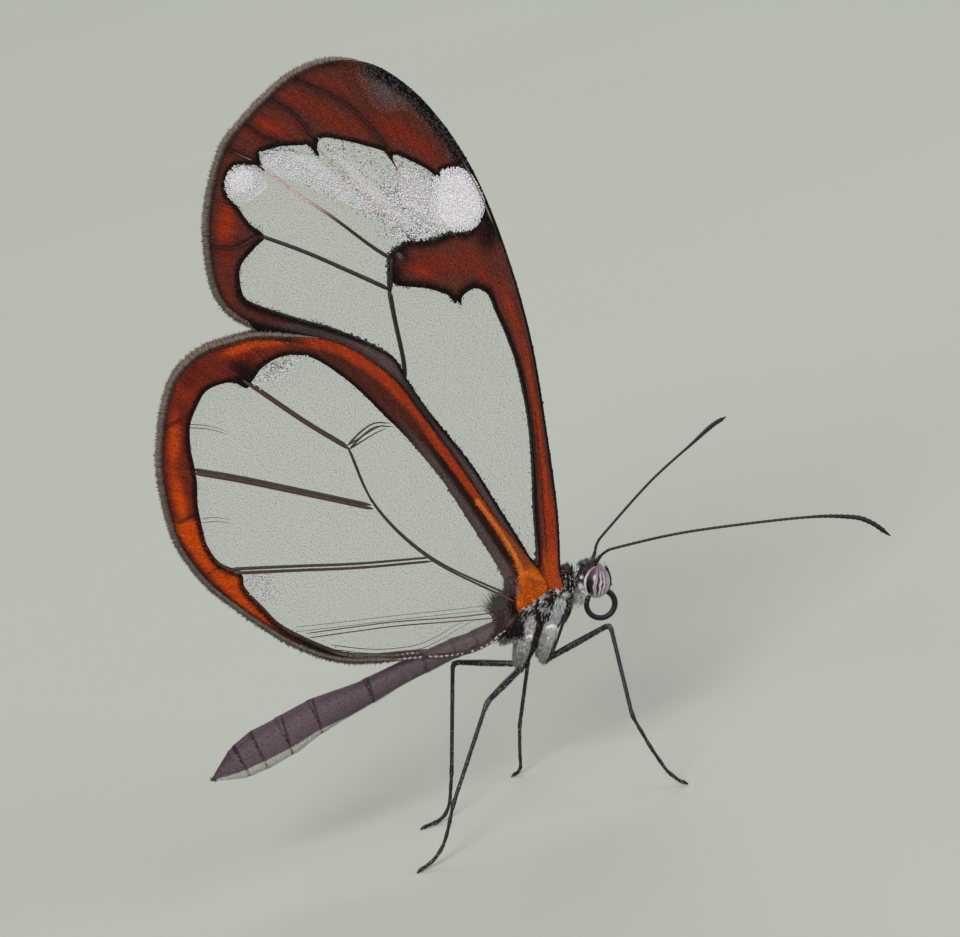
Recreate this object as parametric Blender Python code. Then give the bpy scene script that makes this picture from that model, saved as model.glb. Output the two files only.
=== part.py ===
"""A glasswing butterfly standing with its wings closed over its back, at life size.

+X is the way it faces, +Y its left side, +Z up, with the floor at z = 0. Sizes are in
millimetres from the middle of the thorax, and a mesh is turned to metres as it is made.
"""
import math

import bmesh
import bpy
import numpy as np
from mathutils import Matrix, Vector
from mathutils.geometry import delaunay_2d_cdt

MM = 0.001
THORAX_PLACE = Vector((0.54, -3.44, 9.34))
GAP = 0.3

BODY_SIDES = 16
ABDOMEN_SIDES = 14
COXA_SIDES = 10
LIMB_SIDES = 8

WING_THICK = 0.5
WING_PLANE = 0.52
WING_ROOT = 0.80
WING_ROOT_AT = (0.3, 1.2)
FLARE_REACH = 5.0
WING_CUP = 0.10
CUP_LENGTH = 30.0
VEIN_CREST = 0.17
VEIN_INNER_CREST = 0.07
VEIN_FOOT = 0.36
BORDER_RISE = 0.07
PANE_SLOPE = 0.28
EDGE_STEP = 1.0
VEIN_STEP = 1.05
FILL_STEP = 2.0
SPACING = 0.34

FOREWING_OUTLINE = (
    (1.32, 2.3), (1.75, 3.9), (2.62, 9.5), (3.16, 14.6), (3.14, 18.7), (2.93, 21.3), (2.48, 23.9),
    (0.86, 27.9), (-0.9, 29.8), (-2.7, 30.65), (-4.6, 30.5), (-7.6, 29.0), (-9.9, 26.7),
    (-11.3, 23.6), (-11.5, 21.2), (-11.0, 19.8), (-9.8, 18.95), (-7.0, 17.6), (-5.3, 16.3),
    (-3.9, 14.4), (-2.0, 9.3), (-0.1, 4.0))
FOREWING_ROOT = ((0.68, 1.15), (1.2, 1.15))
HINDWING_OUTLINE = (
    (-0.4, 4.0), (-2.28, 9.2), (-4.15, 14.2), (-5.6, 16.1), (-7.2, 17.25), (-9.6, 18.4),
    (-12.6, 18.65), (-14.6, 17.7), (-16.0, 15.2), (-16.95, 12.3), (-17.0, 10.2), (-16.0, 7.1),
    (-14.0, 4.35), (-11.6, 1.9), (-9.6, 0.85), (-7.8, 0.54), (-6.4, 0.72), (-4.2, 0.96),
    (-2.6, 1.1))
HINDWING_ROOT = ((-1.5, 0.45), (0.36, 1.0))

FOREWING_PANE = (
    (0.25, 3.4), (0.93, 5.7), (1.9, 10.2), (2.1, 13.0), (1.9, 15.9), (1.2, 17.5), (-1.2, 18.3),
    (-2.6, 18.9), (-2.6, 20.2), (-1.3, 20.7), (0.8, 20.4), (2.3, 20.6), (2.65, 22.0), (2.0, 23.5),
    (0.9, 23.6), (-1.9, 25.8), (-4.1, 26.95), (-6.2, 27.1), (-8.6, 26.75), (-9.35, 25.6),
    (-8.7, 23.6), (-9.8, 22.0), (-9.9, 20.5), (-7.9, 18.75), (-4.7, 16.4), (-3.5, 14.4),
    (-1.5, 9.0), (-0.25, 4.7))
HINDWING_PANE = (
    (-1.5, 2.9), (-2.1, 5.0), (-3.1, 8.4), (-4.3, 11.3), (-5.5, 14.1), (-7.3, 16.4), (-9.0, 17.1),
    (-11.1, 16.4), (-12.9, 16.75), (-14.2, 15.7), (-14.75, 13.4), (-15.1, 11.4), (-15.3, 9.0),
    (-14.3, 6.9), (-12.5, 3.6), (-10.4, 1.65), (-7.9, 1.15), (-5.2, 1.4), (-2.4, 1.52))
FOREWING_VEINS = {
    "costa": ((1.0, 1.3), (1.5, 4.3), (2.5, 11.0), (2.75, 15.6), (2.7, 19.0), (1.9, 23.8),
              (0.2, 27.8), (-2.6, 29.9), (-6.0, 29.3)),
    "radius": ((0.75, 1.3), (0.9, 5.4), (2.0, 11.6), (2.0, 14.7), (1.7, 17.3)),
    "cubitus": ((0.5, 2.4), (-0.84, 6.64), (-2.72, 11.9), (-3.6, 15.2), (-5.2, 16.9), (-7.9, 18.7),
                (-10.4, 20.3)),
    "discal_bar": ((1.7, 17.3), (0.5, 18.6), (-2.7, 19.1)),
    "closing": ((-2.5, 20.0), (-2.97, 18.68), (-3.14, 17.2), (-3.33, 14.3)),
    "radial_first": ((1.7, 17.3), (1.3, 20.4), (0.9, 23.5), (-0.6, 26.6)),
    "radial_second": ((1.7, 17.3), (0.8, 20.6), (-0.6, 23.1), (-1.9, 25.9), (-3.3, 28.8)),
    "radial_third": ((0.5, 18.6), (-1.1, 20.4), (-2.6, 23.2), (-4.6, 26.3), (-6.2, 28.6)),
    "median_first": ((-2.5, 20.0), (-4.7, 23.0), (-7.3, 26.3), (-8.6, 27.6)),
    "median_second": ((-2.97, 18.68), (-6.45, 21.7), (-8.4, 23.2), (-10.6, 24.4)),
}
HINDWING_VEINS = {
    "costa": ((-0.2, 1.7), (-1.1, 5.0), (-3.3, 11.2), (-5.5, 15.2), (-8.0, 17.4), (-12.0, 17.9),
              (-15.0, 16.2)),
    "band": ((-1.3, 2.0), (-2.0, 4.8), (-3.6, 9.7), (-5.4, 14.0), (-7.3, 16.4)),
    "stem": ((-0.9, 1.5), (-4.76, 4.8), (-6.72, 8.3), (-7.21, 11.6)),
    "fork": ((-7.21, 11.6), (-6.3, 12.1), (-5.5, 12.3), (-4.5, 11.95)),
    "median": ((-7.21, 11.6), (-9.0, 13.65), (-11.2, 16.3), (-12.2, 17.5)),
    "cubital_first": ((-6.72, 8.3), (-11.6, 11.0), (-16.0, 13.2)),
    "cubital_second": ((-4.76, 4.8), (-10.4, 6.08), (-15.6, 7.8)),
    "anal_first": ((-1.3, 1.35), (-6.1, 2.3), (-12.9, 3.7)),
    "anal_second": ((-1.6, 1.2), (-7.5, 1.75), (-11.5, 2.6)),
}

THORAX_STATIONS = (
    (1.72, 1.02, 0.40, 0.50), (1.45, 1.06, 0.72, 0.84), (0.90, 0.90, 0.96, 1.14),
    (0.20, 0.54, 1.17, 1.30), (-0.60, 0.10, 1.32, 1.32), (-1.30, -0.08, 1.12, 1.16),
    (-1.85, 0.02, 0.78, 0.85), (-2.15, 0.10, 0.52, 0.56))
MID_COXA = ((-0.15, 0.80, -0.20), (-0.45, 0.70, -1.30), (-0.66, 0.60, -1.98))
HIND_COXA = ((-1.05, 0.72, -0.40), (-1.70, 0.66, -1.45), (-2.08, 0.58, -2.22))
COXA_RADII = (0.62, 0.50, 0.32)

ABDOMEN_STATIONS = (
    (-2.30, 0.14, 0.45, 0.44), (-4.00, -0.02, 0.56, 0.50), (-6.00, -0.22, 0.60, 0.54),
    (-8.00, -0.52, 0.66, 0.60), (-10.0, -0.92, 0.74, 0.67), (-12.6, -1.29, 0.98, 0.80),
    (-14.4, -1.77, 1.12, 0.88), (-16.0, -2.14, 1.13, 0.86), (-17.2, -2.47, 0.90, 0.68),
    (-18.1, -2.67, 0.48, 0.40), (-18.55, -2.74, 0.16, 0.16))
SEGMENT_JOINTS = (-3.6, -5.3, -7.4, -9.8, -12.4, -14.3, -15.7, -16.9)
GROOVE_HALF = 0.13
GROOVE_DEPTH = 0.07
PLAIN_RINGS = 13

HEAD_AT = (2.80, 0.0, 1.28)
HEAD_RADII = (0.66, 0.74, 0.88)
NECK = ((2.70, 0.0, 1.15), (1.90, 0.0, 1.02))
NECK_RADIUS = 0.36
EYE_AT = (3.06, 0.52, 1.08)
EYE_RADII = (0.62, 0.60, 0.83)
EYE_LEAN = math.radians(16.0)
EYE_LIFT = 0.02
PALP_LINE = ((3.05, 0.30, 0.55), (3.62, 0.30, 0.42), (3.95, 0.28, 0.95), (3.98, 0.26, 1.55))
PALP_RADII = (0.22, 0.27, 0.25, 0.12)
COIL_AT = (2.92, -0.14)
COIL_RADIUS = 0.70
COIL_THICK = 0.40
COIL_FROM = math.radians(62.0)
COIL_TURN = math.radians(305.0)
COIL_RINGS = 22

ANTENNA_RIGHT = ((3.15, -0.28, 1.75), (3.42, -0.38, 2.3), (4.25, -0.70, 2.66), (8.0, -2.2, 2.72),
                 (13.27, -3.8, 2.15), (15.62, -4.3, 1.58), (16.6, -4.5, 1.03), (17.4, -4.6, 0.0))
ANTENNA_LEFT = ((3.15, 0.28, 1.75), (3.38, 0.5, 2.34), (4.18, 1.7, 2.86), (7.9, 6.0, 3.65),
                (10.9, 9.0, 4.1), (12.5, 10.7, 4.3), (13.5, 11.6, 4.3))
ANTENNA_RADIUS = 0.25
CLUB_RADIUS = 0.29
CLUB_FROM = 0.78
CLUB_FULL = 0.93
FINE_TIP = 0.12
LIMB_STEP = 0.75
PALP_STEP = 0.3

LEG_JOINTS = {
    "midleg_right": ((-0.62, -0.60, -1.90), (2.87, -1.90, -0.75), (2.51, -3.50, -5.25),
                     (2.94, -3.90, -7.03), (3.52, -4.12, -9.16), (4.20, -4.25, -9.16)),
    "midleg_left": ((-0.62, 0.60, -1.90), (-0.76, 3.30, -1.88), (-2.49, 4.60, -6.59),
                    (-2.85, 4.90, -8.10), (-3.02, 5.02, -9.16), (-3.66, 5.16, -9.16)),
    "hindleg_right": ((-2.06, -0.58, -2.10), (-4.32, -3.00, -2.37), (-7.59, -4.25, -6.73),
                      (-8.35, -4.45, -8.05), (-9.20, -4.54, -9.16), (-10.1, -4.60, -9.16)),
    "hindleg_left": ((-2.06, 0.58, -2.10), (-5.09, 1.90, -1.31), (-6.77, 1.70, -6.90),
                     (-7.32, 1.60, -8.45), (-8.05, 1.56, -9.16), (-9.00, 1.50, -9.16)),
}
FORELEG_JOINTS = ((1.50, 0.43, 0.75), (1.72, 0.43, 0.25), (0.74, 0.43, -1.02))
FORELEG_RADII = (0.25, 0.25, 0.20)
LEG_RADII = (0.30, 0.27, 0.26, 0.25, 0.25, 0.24)
KNEE_BEND = 0.35
BEND_SHARE = 0.4
LONG_PIECE = 2.5
TOE_LENGTH = 0.3

SHAPE_COLOURS = {
    "dark_brown": ((0.055, 0.035, 0.030, 1.0), 0.6),
    "rust_border": ((0.310, 0.060, 0.020, 1.0), 0.5),
    "abdomen_brown": ((0.075, 0.040, 0.042, 1.0), 0.6),
    "grey_body": ((0.300, 0.290, 0.280, 1.0), 0.7),
    "striped_eye": ((0.180, 0.130, 0.140, 1.0), 0.25),
    "blue_black": ((0.012, 0.014, 0.020, 1.0), 0.35),
}


def clear_scene():
    """Take away whatever the new file holds."""
    for item in list(bpy.data.objects):
        bpy.data.objects.remove(item, do_unlink=True)


def finish_colour(name):
    """The named surface as a Principled material."""
    colour, roughness = SHAPE_COLOURS[name]
    surface = bpy.data.materials.get(name) or bpy.data.materials.new(name)
    surface.use_nodes = True
    shader = surface.node_tree.nodes["Principled BSDF"]
    shader.inputs["Base Color"].default_value = colour
    shader.inputs["Roughness"].default_value = roughness
    shader.inputs["Metallic"].default_value = 0.0
    return surface


def to_object(name, shape, colour):
    """Turn a bmesh in millimetres into an object in metres at its place on the body."""
    bmesh.ops.recalc_face_normals(shape, faces=shape.faces)
    place = Matrix.Scale(MM, 4) @ Matrix.Translation(THORAX_PLACE)
    bmesh.ops.transform(shape, matrix=place, verts=shape.verts)
    bmesh.ops.triangulate(shape, faces=shape.faces)
    mesh = bpy.data.meshes.new(name)
    shape.to_mesh(mesh)
    shape.free()
    piece = bpy.data.objects.new(name, mesh)
    bpy.context.scene.collection.objects.link(piece)
    mesh.materials.append(finish_colour(colour))
    return piece


def hide_guide(piece):
    """Mark an object as a cutter that isn't part of the butterfly."""
    piece.hide_render = True
    piece.display_type = "WIRE"
    return piece


def curve_points(knots, step, closed=False):
    """Points about a step apart on the smooth curve through the knots."""
    knots = np.array(knots, float)
    count = len(knots)
    if closed:
        padded = np.vstack([knots[-1], knots, knots[:2]])
        spans = count
    else:
        first = 2 * knots[0] - knots[1]
        last = 2 * knots[-1] - knots[-2]
        padded = np.vstack([first, knots, last])
        spans = count - 1
    fine = []
    for span in range(spans):
        a, b, c, d = padded[span:span + 4]
        for part in np.linspace(0.0, 1.0, 24, endpoint=False):
            fine.append(0.5 * (2 * b + (c - a) * part + (2 * a - 5 * b + 4 * c - d) * part ** 2
                               + (3 * b - a - 3 * c + d) * part ** 3))
    fine.append(knots[0] if closed else knots[-1])
    fine = np.array(fine)
    run = np.concatenate([[0.0], np.cumsum(np.linalg.norm(np.diff(fine, axis=0), axis=1))])
    pieces = max(2, round(run[-1] / step))
    wanted = np.linspace(0.0, run[-1], pieces + 1)
    even = np.column_stack([np.interp(wanted, run, fine[:, axis]) for axis in range(fine.shape[1])])
    return even[:-1] if closed else even


def add_rings(shape, rings):
    """Join rings of points into one closed skin with capped ends."""
    made = [[shape.verts.new(point) for point in ring] for ring in rings]
    for one, two in zip(made, made[1:]):
        count = len(one)
        for index in range(count):
            following = (index + 1) % count
            shape.faces.new((one[index], one[following], two[following], two[index]))
    shape.faces.new(list(reversed(made[0])))
    shape.faces.new(made[-1])


def oval_ring(centre, across, upward, half_width, half_height, sides):
    """An oval of points round a centre."""
    ring = []
    for index in range(sides):
        angle = 2.0 * math.pi * (index + 0.5) / sides
        ring.append(centre + across * (half_width * math.cos(angle))
                    + upward * (half_height * math.sin(angle)))
    return ring


def body_rings(stations, grow=0.0, sides=BODY_SIDES):
    """Rings square to the line of a body that lies in its plane of symmetry."""
    centres = [Vector((x, 0.0, z)) for x, z, height, width in stations]
    rings = []
    for index, (x, z, height, width) in enumerate(stations):
        before = centres[max(0, index - 1)]
        after = centres[min(len(centres) - 1, index + 1)]
        along = (after - before).normalized()
        upward = Vector((0.0, 1.0, 0.0)).cross(along).normalized()
        upward = upward if upward.z > 0 else -upward
        shift = 0.0
        if index == 0:
            shift = -grow
        if index == len(stations) - 1:
            shift = grow
        rings.append(oval_ring(centres[index] + along * shift, Vector((0.0, 1.0, 0.0)), upward,
                               width + grow, height + grow, sides))
    return rings


def tube_rings(points, radii, sides=LIMB_SIDES, grow=0.0):
    """Rings along a bent line, carried from one to the next without a twist."""
    points = [Vector(point) for point in points]
    rings = []
    along = (points[1] - points[0]).normalized()
    across = along.orthogonal().normalized()
    for index, (point, radius) in enumerate(zip(points, radii)):
        before = points[max(0, index - 1)]
        after = points[min(len(points) - 1, index + 1)]
        heading = (after - before).normalized()
        across = (across - heading * across.dot(heading)).normalized()
        upward = heading.cross(across)
        shift = Vector((0.0, 0.0, 0.0))
        if index == 0:
            shift = -heading * grow
        if index == len(points) - 1:
            shift = heading * grow
        rings.append(oval_ring(point + shift, across, upward, radius + grow, radius + grow, sides))
    return rings


def tube(points, radii, sides=LIMB_SIDES, grow=0.0):
    """A closed round limb along a bent line."""
    shape = bmesh.new()
    add_rings(shape, tube_rings(points, radii, sides, grow))
    return shape


def join_solids(name, shapes, colour):
    """Fuse overlapping closed shapes into one body and keep its largest surface."""
    group = bpy.data.collections.new(name + "_pieces")
    bpy.context.scene.collection.children.link(group)
    body = to_object(name, shapes[0], colour)
    extras = []
    for number, shape in enumerate(shapes[1:]):
        extra = to_object(name + "_piece_" + str(number), shape, colour)
        bpy.context.scene.collection.objects.unlink(extra)
        group.objects.link(extra)
        extras.append(extra)
    union = body.modifiers.new("join", "BOOLEAN")
    union.operation = "UNION"
    union.operand_type = "COLLECTION"
    union.collection = group
    union.solver = "EXACT"
    apply_modifiers(body)
    for extra in extras:
        bpy.data.objects.remove(extra, do_unlink=True)
    bpy.data.collections.remove(group)
    return body


def apply_modifiers(piece):
    """Replace the mesh by what its modifiers make, keeping only its largest closed surface."""
    bpy.context.view_layer.update()
    seen = piece.evaluated_get(bpy.context.evaluated_depsgraph_get())
    made = bpy.data.meshes.new_from_object(seen)
    piece.modifiers.clear()
    shape = bmesh.new()
    shape.from_mesh(made)
    bmesh.ops.remove_doubles(shape, verts=shape.verts, dist=0.002 * MM)
    bmesh.ops.triangulate(shape, faces=shape.faces)
    islands = surface_islands(shape)
    if len(islands) > 1:
        islands.sort(key=len)
        spare = [vert for island in islands[:-1] for vert in island]
        bmesh.ops.delete(shape, geom=spare, context="VERTS")
    shape.to_mesh(piece.data)
    shape.free()
    piece.data.update()


def surface_islands(shape):
    """The separate groups of joined vertices."""
    waiting = set(shape.verts)
    islands = []
    while waiting:
        start = waiting.pop()
        island = [start]
        edge_of = [start]
        while edge_of:
            vert = edge_of.pop()
            for link in vert.link_edges:
                other = link.other_vert(vert)
                if other in waiting:
                    waiting.remove(other)
                    island.append(other)
                    edge_of.append(other)
        islands.append(island)
    return islands


def cut_clear(piece, *clearances):
    """Cut a piece back from its neighbours' grown copies, which leaves the touching gap."""
    for clearance in clearances:
        cut = piece.modifiers.new("clear_of_" + clearance.name, "BOOLEAN")
        cut.operation = "DIFFERENCE"
        cut.object = clearance
        cut.solver = "EXACT"
    apply_modifiers(piece)
    return piece


def mirrored(points, side):
    """The same points on the right (-1) or left (+1) side."""
    return [Vector((x, side * abs(y), z)) for x, y, z in points]


def thorax_shapes(grow=0.0):
    """The thorax and the coxae that hang from it, each a closed shape."""
    shapes = [bmesh.new()]
    add_rings(shapes[0], body_rings(THORAX_STATIONS, grow))
    for line in (MID_COXA, HIND_COXA):
        for side in (-1, 1):
            shapes.append(tube(mirrored(line, side), COXA_RADII, COXA_SIDES, grow))
    return shapes


def make_thorax():
    """The middle of the body, and the grown copy that clears its neighbours."""
    thorax = join_solids("thorax", thorax_shapes(), "grey_body")
    clearance = hide_guide(join_solids("thorax_clearance", thorax_shapes(GAP), "grey_body"))
    return thorax, clearance


def make_abdomen(thorax_clearance):
    """The long abdomen with a groove at each joint between its segments."""
    knots = np.array(ABDOMEN_STATIONS)
    places = set(np.round(np.linspace(knots[0, 0], knots[-1, 0], PLAIN_RINGS), 3))
    places.update(knots[-3:, 0])
    for joint in SEGMENT_JOINTS:
        places = {x for x in places if abs(x - joint) > 2.2 * GROOVE_HALF}
        places.update((joint - GROOVE_HALF, joint, joint + GROOVE_HALF))
    stations = []
    order = np.argsort(knots[:, 0])
    for x in sorted(places, reverse=True):
        sizes = [np.interp(x, knots[order, 0], knots[order, column]) for column in (1, 2, 3)]
        sunk = GROOVE_DEPTH if x in SEGMENT_JOINTS else 0.0
        stations.append((x, sizes[0], sizes[1] - sunk, sizes[2] - sunk))
    shape = bmesh.new()
    add_rings(shape, body_rings(stations, 0.0, ABDOMEN_SIDES))
    return cut_clear(to_object("abdomen", shape, "abdomen_brown"), thorax_clearance)


def ball(centre, radii, grow=0.0, segments=16, rings=10):
    """An egg-shaped solid."""
    shape = bmesh.new()
    bmesh.ops.create_uvsphere(shape, u_segments=segments, v_segments=rings, radius=1.0)
    sizes = Matrix.Diagonal([radius + grow for radius in radii] + [1.0])
    bmesh.ops.transform(shape, matrix=Matrix.Translation(centre) @ sizes, verts=shape.verts)
    return shape


def eye_dome(side, grow=0.0):
    """One eye: the outer half of an egg, flat where it faces the head."""
    shape = bmesh.new()
    bmesh.ops.create_uvsphere(shape, u_segments=18, v_segments=12, radius=1.0)
    bmesh.ops.rotate(shape, verts=shape.verts, matrix=Matrix.Rotation(math.pi / 2, 3, "X"))
    sizes = Matrix.Diagonal([radius + grow for radius in EYE_RADII] + [1.0])
    bmesh.ops.transform(shape, matrix=sizes, verts=shape.verts)
    cut = bmesh.ops.bisect_plane(shape, geom=shape.verts[:] + shape.edges[:] + shape.faces[:],
                                 plane_co=(0.0, (EYE_LIFT - grow) * side, 0.0),
                                 plane_no=(0.0, -side, 0.0), clear_outer=True)
    rim = [item for item in cut["geom_cut"] if isinstance(item, bmesh.types.BMEdge)]
    bmesh.ops.contextual_create(shape, geom=rim)
    bmesh.ops.remove_doubles(shape, verts=shape.verts, dist=0.01)
    centre = Vector((EYE_AT[0], side * EYE_AT[1], EYE_AT[2]))
    turn = Matrix.Translation(centre) @ Matrix.Rotation(EYE_LEAN, 4, "Y")
    bmesh.ops.transform(shape, matrix=turn, verts=shape.verts)
    return shape


def head_shapes(grow=0.0):
    """The head capsule with its neck and its two palps."""
    shapes = [ball(HEAD_AT, HEAD_RADII, grow), tube(NECK, (NECK_RADIUS,) * 2, COXA_SIDES, grow)]
    for side in (-1, 1):
        line = curve_points([tuple(point) for point in mirrored(PALP_LINE, side)], PALP_STEP)
        radii = np.interp(np.linspace(0, 1, len(line)), np.linspace(0, 1, 4), PALP_RADII)
        shapes.append(tube(line, radii, LIMB_SIDES, grow))
    return shapes


def make_head(thorax_clearance):
    """Head, eyes, antennae and coiled tongue."""
    eye_clearances = []
    for name, side in (("eye_right", -1), ("eye_left", 1)):
        to_object(name, eye_dome(side), "striped_eye")
        eye_clearances.append(hide_guide(to_object(name + "_clearance", eye_dome(side, GAP),
                                                   "striped_eye")))
    head = join_solids("head", head_shapes(), "dark_brown")
    cut_clear(head, thorax_clearance, *eye_clearances)
    head_clearance = hide_guide(join_solids("head_clearance", head_shapes(GAP), "dark_brown"))
    for name, knots in (("antenna_right", ANTENNA_RIGHT), ("antenna_left", ANTENNA_LEFT)):
        line = curve_points(knots, LIMB_STEP)
        shares = np.linspace(0.0, 1.0, len(line))
        radii = np.interp(shares, (0.0, CLUB_FROM, CLUB_FULL, 1.0),
                          (ANTENNA_RADIUS, ANTENNA_RADIUS, CLUB_RADIUS, FINE_TIP))
        antenna = to_object(name, tube(line, radii), "blue_black")
        cut_clear(antenna, head_clearance, *eye_clearances)
    turns = np.linspace(0.0, COIL_TURN, COIL_RINGS)
    coil = [(COIL_AT[0] + COIL_RADIUS * math.cos(COIL_FROM - turn), 0.0,
             COIL_AT[1] + COIL_RADIUS * math.sin(COIL_FROM - turn)) for turn in turns]
    tongue = to_object("proboscis", tube(coil, (COIL_THICK / 2,) * len(coil)), "blue_black")
    cut_clear(tongue, head_clearance)


def rounded(joints, radii):
    """A leg's line with its bends rounded, and its radius at each point."""
    joints = [Vector(joint) for joint in joints]
    line = [joints[0]]
    sizes = [radii[0]]
    for index in range(1, len(joints) - 1):
        corner = joints[index]
        inward = joints[index - 1] - corner
        outward = joints[index + 1] - corner
        reach = min(KNEE_BEND, BEND_SHARE * inward.length, BEND_SHARE * outward.length)
        first = corner + inward.normalized() * reach
        last = corner + outward.normalized() * reach
        if inward.length > LONG_PIECE:
            line.append(line[-1].lerp(first, 0.5))
            sizes.append(0.5 * (sizes[-1] + radii[index]))
        for part in (0.0, 0.33, 0.67, 1.0):
            bend = first.lerp(corner, part).lerp(corner.lerp(last, part), part)
            line.append(bend)
            sizes.append(radii[index])
    line.append(joints[-1])
    sizes.append(radii[-1])
    return line, sizes


def make_legs(thorax_clearance):
    """Four walking legs that stand on the floor, and the small folded forelegs."""
    for name, joints in LEG_JOINTS.items():
        line, sizes = rounded(joints, LEG_RADII)
        heading = (line[-1] - line[-2]).normalized()
        line.append(line[-1] + heading * TOE_LENGTH)
        sizes.append(FINE_TIP)
        shape = tube(line, sizes)
        for vert in shape.verts:
            vert.co.z = max(vert.co.z, -THORAX_PLACE.z)
        cut_clear(to_object(name, shape, "dark_brown"), thorax_clearance)
    for name, side in (("foreleg_right", -1), ("foreleg_left", 1)):
        line, sizes = rounded(mirrored(FORELEG_JOINTS, side), FORELEG_RADII)
        cut_clear(to_object(name, tube(line, sizes), "dark_brown"), thorax_clearance)


def line_distance(points, line):
    """How far each point lies from a bent line, in the wing's plane."""
    nearest = np.full(len(points), 1e9)
    for start, end in zip(line[:-1], line[1:]):
        span = end - start
        share = np.clip((points - start) @ span / (span @ span), 0.0, 1.0)
        nearest = np.minimum(nearest, np.linalg.norm(points - start - share[:, None] * span, axis=1))
    return nearest


def inside(points, outline):
    """Which points lie within a closed outline."""
    held = np.zeros(len(points), bool)
    for (ax, az), (bx, bz) in zip(outline, np.roll(outline, -1, axis=0)):
        crosses = (az > points[:, 1]) != (bz > points[:, 1])
        level = (bx - ax) * (points[:, 1] - az) / (bz - az + 1e-12) + ax
        held ^= crosses & (points[:, 0] < level)
    return held


def square_to(line, index):
    """The unit direction across a line at one of its points."""
    heading = line[min(index + 1, len(line) - 1)] - line[max(index - 1, 0)]
    heading = heading / np.linalg.norm(heading)
    return np.array((-heading[1], heading[0]))


def wing_points(outline, pane, veins):
    """Points of a wing's flat net, with the lines that its triangles must follow."""
    points = [tuple(point) for point in outline]
    edges = [(index, (index + 1) % len(points)) for index in range(len(points))]

    def clear(point, reach):
        return min(math.dist(point, other) for other in points) >= reach

    feet = []
    for line in veins:
        last = None
        for index, point in enumerate(line):
            square = square_to(line, index) * VEIN_FOOT
            if clear(point, SPACING) and inside(np.array([point]), outline)[0]:
                points.append(tuple(point))
                if last is not None:
                    edges.append((last, len(points) - 1))
                last = len(points) - 1
                feet.extend((point + square, point - square))
            else:
                last = None
    slope = [point + square_to(pane, index) * PANE_SLOPE for index, point in enumerate(pane)]
    low = outline.min(axis=0)
    high = outline.max(axis=0)
    fill = []
    for row, z in enumerate(np.arange(low[1], high[1], FILL_STEP * 0.87)):
        for x in np.arange(low[0] + (row % 2) * FILL_STEP / 2, high[0], FILL_STEP):
            fill.append((x, z))
    for spots, reach in ((pane, SPACING), (slope, SPACING * 0.7), (feet, SPACING * 0.8),
                         (fill, FILL_STEP * 0.55)):
        spots = np.array(spots)
        for point in spots[inside(spots, outline)]:
            if clear(point, reach):
                points.append(tuple(point))
    return points, edges


def wing_middle(points):
    """How far out from the plane of symmetry the wing's middle lies at each point."""
    reach = np.linalg.norm(points - np.array(WING_ROOT_AT), axis=1)
    near = np.clip(1.0 - reach / FLARE_REACH, 0.0, 1.0)
    flare = (WING_ROOT - WING_PLANE) * near * near * (3.0 - 2.0 * near)
    return WING_PLANE + flare + WING_CUP * np.sin(np.pi * np.clip(reach / CUP_LENGTH, 0.0, 1.0))


def make_wing(name, side, outline_knots, root, pane_knots, vein_knots, clearance):
    """One wing: a thin vane with a sunk clear pane, whose veins stand up as ridges."""
    edge = curve_points(outline_knots, EDGE_STEP)
    outline = np.vstack([edge, np.array(root)])
    veins = [curve_points(knots, VEIN_STEP) for knots in vein_knots.values()]
    pane = curve_points(pane_knots, EDGE_STEP, closed=True)
    points, edges = wing_points(outline, pane, veins)
    border = list(range(len(outline)))
    net = delaunay_2d_cdt([Vector(point) for point in points], edges, [border], 1, 1e-5)
    flat = np.array([(vert.x, vert.y) for vert in net[0]])
    ridge = np.zeros(len(flat))
    for line in veins:
        ridge = np.maximum(ridge, 1.0 - line_distance(flat, line) / VEIN_FOOT)
    ridge = np.clip(ridge, 0.0, 1.0)
    closed_pane = np.vstack([pane, pane[:1]])
    sunk = np.clip(line_distance(flat, closed_pane) / PANE_SLOPE, 0.0, 1.0) * inside(flat, pane)
    rise = BORDER_RISE * (1.0 - sunk)
    middle = wing_middle(flat)
    outer = middle + WING_THICK / 2 + np.maximum(rise, VEIN_CREST * ridge)
    inner = middle - WING_THICK / 2 - VEIN_INNER_CREST * ridge
    shape = bmesh.new()
    front = [shape.verts.new((x, side * y, z)) for (x, z), y in zip(flat, outer)]
    back = [shape.verts.new((x, side * y, z)) for (x, z), y in zip(flat, inner)]
    used = {}
    for corners in net[2]:
        shape.faces.new([front[index] for index in corners])
        shape.faces.new([back[index] for index in reversed(corners)])
        for start, end in zip(corners, corners[1:] + corners[:1]):
            used[(start, end)] = True
    for start, end in used:
        if (end, start) not in used:
            shape.faces.new((front[end], front[start], back[start], back[end]))
    return cut_clear(to_object(name, shape, "rust_border"), clearance)


def make_wings(thorax_clearance):
    """Both pairs of wings, the hindwing just below the forewing in the same plane."""
    for side, word in ((-1, "right"), (1, "left")):
        make_wing("forewing_" + word, side, FOREWING_OUTLINE, FOREWING_ROOT, FOREWING_PANE,
                  FOREWING_VEINS, thorax_clearance)
        make_wing("hindwing_" + word, side, HINDWING_OUTLINE, HINDWING_ROOT, HINDWING_PANE,
                  HINDWING_VEINS, thorax_clearance)


def build():
    """Make every node of the butterfly."""
    clear_scene()
    thorax, thorax_clearance = make_thorax()
    make_abdomen(thorax_clearance)
    make_head(thorax_clearance)
    make_legs(thorax_clearance)
    make_wings(thorax_clearance)


build()
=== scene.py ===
# %% [markdown]
# # A glasswing butterfly with its wings closed
# This file dresses a small solid model as a butterfly. A glasswing is 36 mm long here and 40 mm
# high, so we work in millimetres from the middle of its thorax, and turn each finished mesh into
# metres at its place. First the measured model is loaded, because every size below hangs on it.

# %% Load the measured model
import math

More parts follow.
